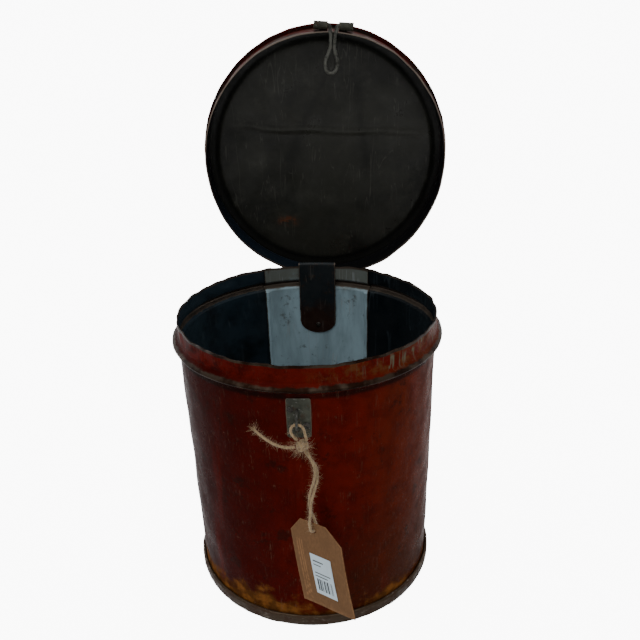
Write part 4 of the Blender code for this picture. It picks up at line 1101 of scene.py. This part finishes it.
def build_disc():
    """The lid's plate: a dented disc with a creased line across it and an edge folded over the ring.

    Each point of the plate sinks towards the mouth by a share of the dents, which fades at the rim."""
    angle = np.linspace(0, 2 * math.pi, 288, endpoint=False)[:, None]
    flange_r = LID_SEAM_R - SHEET - GAP
    base, low = LID_FLOOR_Z + GAP, LID_FLOOR_Z - LID_SEAM_DROP
    rings = np.linspace(0.02, 1, 62) ** 0.85 * (flange_r + 0.9 * GAP)
    section = [(r, base) for r in rings]
    section += [(flange_r + GAP, base - 0.4 * MM), (flange_r + GAP, low + 0.4 * MM)]
    inside = len(section)
    section += [(LID_SEAM_R - 0.7 * MM, low), (LID_SEAM_R, low + 0.6 * MM), (LID_SEAM_R, base + 0.3 * MM)]
    section += [(LID_SEAM_R - 0.4 * MM, base + 0.8 * MM), (LID_SEAM_R - 1.1 * MM, base + SHEET)]
    section += [(r, base + SHEET) for r in rings[::-1] if r < LID_SEAM_R - 2 * MM]
    radius, height = np.array(section).T[:, None, :]
    x, y = radius * np.sin(angle), radius * np.cos(angle)
    spot = np.stack([x, y, 0 * x], -1)
    free = 1 - smooth_step(radius, LID_INNER_R - 16 * MM, LID_INNER_R - 4 * MM)
    dents = 0.5 * (1 + np.clip(0.7 * bumps(spot, 95 * MM, 95) + 0.3 * bumps(spot, 30 * MM, 96), -1, 1))
    line = y + 27 * MM + 5 * MM * bumps(spot * (1, 0, 0), 110 * MM, 97)
    crease = np.exp(-(line / (2.6 * MM)) ** 2) * smooth_step(110 * MM - np.abs(x), 0, 25 * MM)
    boss = 1 - smooth_step(radius, PANEL_STEP_R - 2 * MM, PANEL_STEP_R + 2 * MM)
    height = height - free * (sizes().lid_dent * 1.7 * dents + 1.1 * MM * crease) - boss * 2 * MM
    ripple = smooth_step(radius, LID_SEAM_R - 1.5 * MM, LID_SEAM_R) * 0.5 * MM
    ripple = ripple * (1.2 + np.clip(bumps(around(angle, LID_SEAM_R, height), 22 * MM, 98), -1, 1)) / 2
    radius = radius - ripple
    raised = crease * free
    # Two soft bands where the hasp's shadow is painted on the plate.
    stain = soft_line(x, y, (-4, -82), (-39, 3)) + soft_line(x, y, (28, -68), (45, 7))
    spot_mark = np.exp(-(((x + 37 * MM) / (9 * MM)) ** 2 + ((y - 71 * MM) / (4 * MM)) ** 2))
    zone = np.array([0] * (inside - 1) + [1] * (len(section) - inside))
    # ring marks the plate's band outside the step, darkened in the finish as painted shade in the corner by
    # the skirt.
    surface = Surface().add(around(angle, radius, height), close_rows=True, hub_columns=True,
                            zones=zone[None, :], raised=raised, spot=spot_mark,
                            ring=1 - boss, stain=stain)
    surface.make("lid_plate", "lid", [lid_inside(), lid_top()], ["lid_disc"], "dark_sheet", OPENING)


# ---- twine ----

def in_metres(route):
    return np.array(route) * MM


def add_twine(name, line):
    """A jute cord: a round section carried along its line and grooved by three plies that twist."""
    rings = carried(line, TWINE_R, 18, lobes=3, depth=0.24, twist=150, rough=0.05, seed=151)
    surface = Surface().add(rings, close_columns=True, cap_rows=True)
    cord = surface.make(name + "_yarn", "tag", [jute()], [name], "jute")
    return cord


def tag_axes():
    """The card's right, down and facing ways."""
    right = Vector((math.cos(TAG_YAW) * math.cos(TAG_LEAN), -math.sin(TAG_YAW) * math.cos(TAG_LEAN),
                    math.sin(TAG_LEAN)))
    facing = Vector((-math.sin(TAG_YAW), -math.cos(TAG_YAW), 0))
    down = right.cross(facing)
    return right, (-down if down.z > 0 else down), facing


def strands_line():
    """Both halves of the doubled strand, twisted round their shared route, with a U in the hole."""
    down, facing = (np.array(way) for way in tag_axes()[1:])
    across = np.cross(facing, down)
    middle = evened(in_metres(PAIR_ROUTE), 1.0 * MM)
    s = np.linspace(0, 1, len(middle))[:, None]
    reach = STRAND_OFFSET + (STRAND_U_R - STRAND_OFFSET) * smooth_step(s, 0.75, 1)
    twist = 2 * np.pi * PAIR_TURNS * (1 - s)
    spread = (facing * np.cos(twist) + across * np.sin(twist)) * reach
    centre = np.array(TAG_HOLE) - down * STRAND_U_R
    angle = np.radians(np.linspace(0, 180, 13))[:, None]
    bend = centre + (facing * np.cos(angle) + down * np.sin(angle)) * STRAND_U_R
    return evened(np.vstack([(middle + spread)[:-2], bend, (middle - spread)[-3::-1]]), 0.8 * MM)


def build_knot():
    """Three turns of yarn pulled into a knot: closed lines of the form sine plus twice the sine of
    the doubled angle, which cross themselves three times, laid round a small lumpy core."""
    surface = Surface()
    angle = np.linspace(0, 2 * np.pi, 120, endpoint=False)
    for number, (tip, size) in enumerate(((0.2, 1.0), (1.3, 0.96), (2.4, 0.92))):
        line = np.stack([np.sin(angle) + 2 * np.sin(2 * angle), np.cos(angle) - 2 * np.cos(2 * angle),
                         -1.4 * np.sin(3 * angle)], 1) / 3.1
        turn = np.array(Matrix.Rotation(tip, 3, "X") @ Matrix.Rotation(0.9 * tip, 3, "Z"))
        line = np.array(KNOT_CENTRE) + line @ turn.T * (KNOT_R - 1.25 * TWINE_R) * size
        rings = carried(np.vstack([line, line[:1]]), TWINE_R * 1.15, 14, 3, 0.22, 150, 0.05, 160 + number)
        surface.add(rings, close_columns=True, cap_rows=True)
    polar = np.linspace(0.04, math.pi - 0.04, 20)[None, :]
    round_angle = np.linspace(0, 2 * math.pi, 30, endpoint=False)[:, None]
    ball = around(round_angle, np.sin(polar), np.cos(polar))
    core = np.array(KNOT_CENTRE) + ball * (0.66 * KNOT_R) * (1 + 0.12 * bumps(ball, 1.1, 165))[..., None]
    surface.add(core, close_rows=True, hub_columns=True)
    return surface.make("twine_knot_tied", "tag", [jute()], ["twine_knot"], "jute")


def add_fibres(surface, starts, ways, lengths, radius, seed):
    """Loose fibres: thin tapering three-sided tubes. Each one leaves its start along its way and
    bends aside by the square of the distance gone."""
    random = np.random.default_rng(seed)
    for start, way, length in zip(starts, ways, lengths):
        aside = random.normal(size=3)
        aside -= way * aside.dot(way)
        aside *= random.uniform(0.2, 0.9) / np.linalg.norm(aside)
        far = np.linspace(0, 1, 7)[:, None]
        line = start + (way * far + aside * far ** 2) * length
        girth = radius * (1 - 0.75 * far[:, 0])
        surface.add(carried(line, girth, 3), close_columns=True, cap_rows=True)


def unit(rows):
    return rows / np.linalg.norm(rows, axis=1)[:, None]


def fuzz_along(surface, line, count, reach, seed):
    """Fibres that stand off a line at random places, each leaning outwards and along it."""
    random = np.random.default_rng(seed)
    pick = random.integers(1, len(line) - 1, count)
    along = unit(np.gradient(line, axis=0)[pick])
    out = random.normal(size=(count, 3))
    out = unit(out - along * (out * along).sum(1)[:, None])
    ways = unit(out * 0.7 + along * random.uniform(-0.9, 0.9, (count, 1)))
    starts = line[pick] + out * 0.85 * TWINE_R
    add_fibres(surface, starts, ways, random.uniform(0.5, 1, count) * reach, 0.09 * MM, seed + 1)


def build_fuzz(loop, strands):
    """Loose fibres on the loop, the strands and the front of the knot."""
    surface = Surface()
    fuzz_along(surface, loop, 80, 4 * MM, 171)
    fuzz_along(surface, strands, 620, 4.5 * MM, 173)
    random = np.random.default_rng(175)
    ball = unit(random.normal(size=(170, 3)))
    ball[:, 1] = -np.abs(ball[:, 1])
    add_fibres(surface, np.array(KNOT_CENTRE) + ball * KNOT_R * 0.85, ball,
               random.uniform(2.0, 9.0, 170) * MM, 0.12 * MM, 176)
    return surface.make("twine_fuzz", "tag", [jute()], (), "jute")


def build_fray(tail):
    """Loose fibres along the tail and the frayed brush at its end."""
    surface = Surface()
    fuzz_along(surface, tail, 170, 4.5 * MM, 181)
    random = np.random.default_rng(183)
    away = unit(tail[-1:] - tail[-4:-3])
    brush = unit(away + 0.42 * random.normal(size=(46, 3)))
    starts = tail[-3] + 0.4 * TWINE_R * random.normal(size=(46, 3))
    add_fibres(surface, starts, brush, random.uniform(3, 7.5, 46) * MM, 0.13 * MM, 184)
    return surface.make("twine_fray", "tag", [jute()], (), "jute")


def build_twine():
    loop = evened(in_metres(LOOP_ROUTE), 0.8 * MM)
    tail = evened(in_metres(TAIL_ROUTE), 0.8 * MM)
    strands = strands_line()
    knot = build_knot()
    fuzz, fray = build_fuzz(loop, strands), build_fray(tail)
    add_twine("twine_loop", loop)
    add_twine("twine_tail", tail)
    add_twine("twine_strands", strands)


# ---- tag ----

def on_card(x, up, level):
    """Points of the card's plane: right of the hole, up from it and in front of its middle."""
    right, down, facing = (np.array(way) for way in tag_axes())
    x, up, level = np.broadcast_arrays(x, up, level)
    return np.array(TAG_HOLE) + x[..., None] * right - up[..., None] * down + level[..., None] * facing


def card_bow(x, up):
    """How far the card bows forward: a shallow bend along its length and a lift of its lower right."""
    low = np.clip(-up / (TAG_TOP - TAG_FOOT), 0, 1)
    return (1.0 * MM * np.sin(np.pi * low) - 1.4 * MM * low ** 2 * (x / TAG_HALF)
            + 0.25 * MM * np.sin(x / (9 * MM)) * low)


def build_card():
    """The card: rings that grow from the hole to the cut-cornered outline. An edge's distance from
    the hole divided by the cosine of the turn from its normal gives the outline's reach."""
    edges = [((1, 0), TAG_HALF), ((-1, 0), TAG_HALF), ((0, 1), TAG_TOP), ((0, -1), -TAG_FOOT)]
    slant = math.hypot(1, 1)
    cut = (TAG_HALF + TAG_TOP - TAG_CUT) / slant
    edges += [((1 / slant, 1 / slant), cut), ((-1 / slant, 1 / slant), cut)]
    corners = [(TAG_HALF, TAG_FOOT), (TAG_HALF, TAG_TOP - TAG_CUT), (TAG_HALF - TAG_CUT, TAG_TOP)]
    corners += [(-x, up) for x, up in corners]
    turns = np.concatenate([np.linspace(-math.pi, math.pi, 240, endpoint=False),
                            [math.atan2(up, x) for x, up in corners]])
    turns = np.unique(np.round(turns, 6))[:, None]
    way = np.stack([np.cos(turns), np.sin(turns)], -1)
    reach = np.full(turns.shape, 1.0)
    for normal, distance in edges:
        facing = np.maximum(way @ np.array(normal), 1e-6)
        reach = np.minimum(reach, distance / facing)
    share = np.linspace(0, 1, 46)[None, :] ** 1.25
    radius = TAG_HOLE_R + (reach - TAG_HOLE_R) * share
    x, up = radius * np.cos(turns), radius * np.sin(turns)
    half = TAG_THICK / 2
    soften = 0.35 * half * (share > 0.999)
    bow = card_bow(x, up)
    front, back = on_card(x, up, bow + half - soften), on_card(x, up, bow - half + soften)
    rules = sum(np.exp(-((x - place * MM) / (0.5 * MM)) ** 2) for place in (-24, -21, -18.4))
    rules = rules * (up < -14 * MM) * (up > -76 * MM)
    worn = smooth_step(share, 0.93, 1.0) + 0 * x
    grid = np.concatenate([front, back[:, ::-1]], 1)
    rules = np.concatenate([rules, 0 * rules], 1)
    worn = np.concatenate([worn, worn[:, ::-1]], 1)
    surface = Surface().add(grid, close_rows=True, close_columns=True, rules=rules, worn=worn)
    surface.make("tag_card_kraft", "tag", [kraft()], ["tag_card"], "kraft")


def stripes(x, start, end, count, seed):
    """1 on bars of uneven widths between two places and 0 on the gaps between them."""
    random = np.random.default_rng(seed)
    edges = np.sort(random.uniform(start, end, 2 * count))
    inside = sum(((x > low) & (x < high)).astype(float) for low, high in zip(edges[::2], edges[1::2]))
    return np.clip(inside, 0, 1)


def build_label():
    """A paper label that follows the card's bow, printed with plain bars and rules."""
    (x0, low), (x1, high) = LABEL_LOW, LABEL_HIGH
    x = np.linspace(x0, x1, 260)[:, None]
    up = np.linspace(low, high, 160)[None, :]
    x, up = np.broadcast_arrays(x, up)
    front = TAG_THICK / 2 + 0.15 * MM
    lift = 0.2 * MM * ((x - x0) / (x1 - x0)) ** 6 + card_bow(x, up)
    faces = [on_card(x, up, front + level + lift) for level in (0, 0.25 * MM)]
    a, b = (x - x0) / (x1 - x0), (up - low) / (high - low)
    ink = stripes(a, 0.10, 0.90, 20, 181) * (b > 0.10) * (b < 0.40)
    ink = ink + 0.7 * (a > 0.10) * (a < 0.60) * (np.abs(b - 0.84) < 0.016)
    ink = ink + 0.7 * (a > 0.10) * (a < 0.46) * (np.abs(b - 0.75) < 0.012)
    ink = ink + 0.8 * (a > 0.10) * (a < 0.86) * (np.abs(b - 0.55) < 0.012)
    ink = ink + 0.8 * (a > 0.10) * (a < 0.70) * (np.abs(b - 0.47) < 0.012)
    grid = np.concatenate([faces[1], faces[0][:, ::-1]], 1)
    ink = np.concatenate([ink, 0 * ink], 1)
    surface = Surface().add(grid, close_columns=True, cap_rows=True, ink=np.clip(ink, 0, 1))
    surface.make("tag_label_paper", "tag", [label_paper()], ["tag_label"], "label_paper")


# ---- stage ----

def soft_light(name, place, target, size, power, colour=(1, 1, 1)):
    lamp = bpy.data.lights.new(name, "AREA")
    lamp.shape = "RECTANGLE"
    lamp.size, lamp.size_y = size
    lamp.energy = power
    lamp.color = colour
    made = bpy.data.objects.new(name, lamp)
    made.location = place
    made.rotation_euler = (Vector(target) - Vector(place)).to_track_quat("-Z", "Y").to_euler()
    bpy.context.scene.collection.objects.link(made)


def build_floor():
    """A pale floor that curves up into a backdrop: flat, then a quarter circle, then upright."""
    bend = 1.5
    flat = np.stack([np.linspace(-6, 3, 12), np.zeros(12)], 1)
    curve = arc((3, bend), bend, -90, 0, 16)[1:]
    upright = np.stack([np.full(6, 3 + bend), np.linspace(bend, 6, 7)[1:]], 1)
    profile = np.vstack([flat, curve, upright])
    x = np.linspace(-7, 7, 8)[:, None]
    grid = np.stack(np.broadcast_arrays(x, profile[:, 0][None], profile[:, 1][None]), -1)
    faces = grid_faces(*grid.shape[:2], False, False)[0]
    mesh = bpy.data.meshes.new("floor")
    mesh.from_pydata(grid.reshape(-1, 3), [], faces[:, ::-1].tolist())
    mesh.shade_smooth()
    n = Nodes("floor_paper", 0.9, 0.0)
    glow = n.math("MULTIPLY", n.node("LightPath"), sizes().floor_glow)
    n.put(n.shader.inputs["Emission Color"], (1, 1, 1))
    n.put(n.shader.inputs["Emission Strength"], glow)
    mesh.materials.append(n.finish(n.mix(n.noise(3.0), (0.93, 0.93, 0.93), (0.95, 0.95, 0.95))))
    floor = bpy.data.objects.new("floor", mesh)
    bpy.context.scene.collection.objects.link(floor)


def build_camera():
    """The camera stands back from its target along an azimuth and elevation, and is rolled a little."""
    camera = bpy.data.objects.new("camera", bpy.data.cameras.new("camera"))
    camera.data.sensor_width = 36
    camera.data.lens = CAMERA_LENS
    camera.data.shift_y = CAMERA_SHIFT_Y
    camera.data.clip_start = 0.02
    a, e, r = CAMERA_AZIMUTH, CAMERA_ELEVATION, CAMERA_ROLL
    back = Vector((math.sin(a) * math.cos(e), -math.cos(a) * math.cos(e), math.sin(e)))
    level = Vector((math.cos(a), math.sin(a), 0))
    upward = back.cross(level)
    right = level * math.cos(r) + upward * math.sin(r)
    up = upward * math.cos(r) - level * math.sin(r)
    target = Vector((CAMERA_TARGET_X * math.cos(a), CAMERA_TARGET_X * math.sin(a), CAMERA_TARGET_Z))
    turn = Matrix((right, up, back)).transposed()
    camera.matrix_world = Matrix.Translation(target + back * CAMERA_DISTANCE) @ turn.to_4x4()
    bpy.context.scene.collection.objects.link(camera)
    bpy.context.scene.camera = camera


def build_stage():
    scene = bpy.context.scene
    world = bpy.data.worlds.new("studio")
    scene.world = world
    world.use_nodes = True
    backdrop = world.node_tree.nodes["Background"]
    backdrop.inputs["Color"].default_value = (1, 1, 1, 1)
    tree = world.node_tree
    seen = tree.nodes.new("ShaderNodeLightPath").outputs["Is Camera Ray"]
    strength = tree.nodes.new("ShaderNodeMath")
    strength.operation = "MULTIPLY_ADD"
    strength.inputs[1].default_value = sizes().floor_glow
    strength.inputs[2].default_value = sizes().sky_light
    tree.links.new(seen, strength.inputs[0])
    tree.links.new(strength.outputs[0], backdrop.inputs["Strength"])
    sun = bpy.data.objects.new("overhead", bpy.data.lights.new("overhead", "SUN"))
    sun.data.energy = sizes().key_light
    sun.data.angle = math.radians(75)
    sun.rotation_euler = (math.radians(24), math.radians(-8), 0)
    scene.collection.objects.link(sun)
    soft_light("left_strip", (-1.5, 0.75, 0.6), (0, 0, 0.2), (0.5, 1.6), sizes().side_light)
    soft_light("right_strip", (1.5, 0.75, 0.6), (0, 0, 0.2), (0.5, 1.6), sizes().side_light)
    build_floor()
    build_camera()


# ---- add-on ----

def colour_property(name, value, text):
    return FloatVectorProperty(name=name, default=value, size=3, min=0, max=1, subtype="COLOR",
                               description=text)


def length_property(name, value, text):
    return FloatProperty(name=name, default=value, min=0, max=0.01, unit="LENGTH", description=text)


class TinColours(bpy.types.PropertyGroup):
    paint: colour_property("Paint", (0.082, 0.0036, 0.0008), "Red paint of the body and the lid")
    paint_right: colour_property("Paint, right", (0.080, 0.0135, 0.0030), "Browner paint to the right")
    scuff: colour_property("Neck scuffs", (0.085, 0.028, 0.009), "Orange scuffs on the neck")
    rust: colour_property("Foot rust", (0.15, 0.055, 0.012), "Ochre rust along the foot")
    panel: colour_property("Back panel", (0.26, 0.37, 0.42), "Blue-grey paint of the back panel")
    inside: colour_property("Inside", (0.007, 0.013, 0.018), "Navy inside of the can")
    disc: colour_property("Lid inside", (0.017, 0.017, 0.0135), "Grey-green inside of the lid")
    fittings: colour_property("Fittings", (0.055, 0.058, 0.042), "Paint of the plate and the tabs")
    steel: colour_property("Bare steel", (0.058, 0.040, 0.026), "Bare steel of the foot and the pin")
    wire: colour_property("Wire", (0.085, 0.086, 0.074), "Hasp and staple wire")
    twine: colour_property("Twine", (0.35, 0.245, 0.132), "Jute twine")
    card: colour_property("Card", (0.155, 0.078, 0.033), "Kraft card of the tag")
    label: colour_property("Label", (0.52, 0.62, 0.68), "Paper of the label")


class TinSizes(bpy.types.PropertyGroup):
    dent: length_property("Body dents", 0.9 * MM, "Depth of the dents in the body wall")
    lid_dent: length_property("Lid dents", 0.8 * MM, "Depth of the dents in the lid")
    floor_glow: FloatProperty(name="Floor glow", default=9.0, min=0, description="Lifts the floor to white")
    key_light: FloatProperty(name="Overhead light", default=2.0, min=0, description="Its strength")
    side_light: FloatProperty(name="Side lights", default=5, min=0, description="Watts of each side light")
    sky_light: FloatProperty(name="Sky light", default=0.38, min=0, description="Strength of the surround")


class TIN_OT_stage(bpy.types.Operator):
    """Makes the camera, the soft lights and the pale floor"""
    bl_idname = "tin.stage"
    bl_label = "Stage"

    def execute(self, context):
        build_stage()
        return {"FINISHED"}


class TIN_OT_twine(bpy.types.Operator):
    """Makes the jute loop, tail and strands, the knot and the loose fibres"""
    bl_idname = "tin.twine"
    bl_label = "Twine"

    def execute(self, context):
        build_twine()
        return {"FINISHED"}


class TIN_OT_can(bpy.types.Operator):
    """Makes the can's front sheet, its back panel and its folded bottom pan"""
    bl_idname = "tin.can"
    bl_label = "Can"

    def execute(self, context):
        build_front_sheet()
        build_back_panel()
        build_bottom_pan()
        return {"FINISHED"}


class TIN_OT_lid(bpy.types.Operator):
    """Makes the lid's ring and its dented plate"""
    bl_idname = "tin.lid"
    bl_label = "Lid"

    def execute(self, context):
        build_skirt()
        build_disc()
        return {"FINISHED"}


class TIN_OT_hinge(bpy.types.Operator):
    """Makes the two hinge straps and the pin between them"""
    bl_idname = "tin.hinge"
    bl_label = "Hinge"

    def execute(self, context):
        build_body_strap()
        build_lid_strap()
        build_pin()
        return {"FINISHED"}


class TIN_OT_hasp(bpy.types.Operator):
    """Makes the hasp wire and its two tabs, the staple and its plate"""
    bl_idname = "tin.hasp"
    bl_label = "Hasp"

    def execute(self, context):
        build_keepers()
        build_hasp()
        build_plate()
        build_staple()
        return {"FINISHED"}


class TIN_OT_rivets(bpy.types.Operator):
    """Makes every rivet"""
    bl_idname = "tin.rivets"
    bl_label = "Rivets"

    def execute(self, context):
        build_rivets()
        return {"FINISHED"}


class TIN_OT_tag(bpy.types.Operator):
    """Makes the kraft tag and its paper label"""
    bl_idname = "tin.tag"
    bl_label = "Tag"

    def execute(self, context):
        build_card()
        build_label()
        return {"FINISHED"}


OPERATORS = (TIN_OT_stage, TIN_OT_twine, TIN_OT_can, TIN_OT_lid, TIN_OT_hinge, TIN_OT_hasp,
             TIN_OT_rivets, TIN_OT_tag)


class TIN_PT_panel(bpy.types.Panel):
    """Lists the tin's colours, sizes and building steps"""
    bl_idname = "TIN_PT_panel"
    bl_label = "Storage tin"
    bl_space_type = "VIEW_3D"
    bl_region_type = "UI"
    bl_category = "Storage tin"

    def draw(self, context):
        for group in (context.scene.tin_sizes, context.scene.tin_colours):
            box = self.layout.box()
            for name in group.__annotations__:
                box.prop(group, name)
        for operator in OPERATORS:
            self.layout.operator(operator.bl_idname)


CLASSES = (TinColours, TinSizes, *OPERATORS, TIN_PT_panel)


def register():
    for kind in CLASSES:
        bpy.utils.register_class(kind)
    bpy.types.Scene.tin_colours = PointerProperty(type=TinColours)
    bpy.types.Scene.tin_sizes = PointerProperty(type=TinSizes)


def unregister():
    del bpy.types.Scene.tin_colours
    del bpy.types.Scene.tin_sizes
    for kind in reversed(CLASSES):
        bpy.utils.unregister_class(kind)


def main():
    register()
    for operator in OPERATORS:
        getattr(bpy.ops.tin, operator.bl_idname.split(".")[1])()
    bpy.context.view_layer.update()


if __name__ == "__main__":
    main()
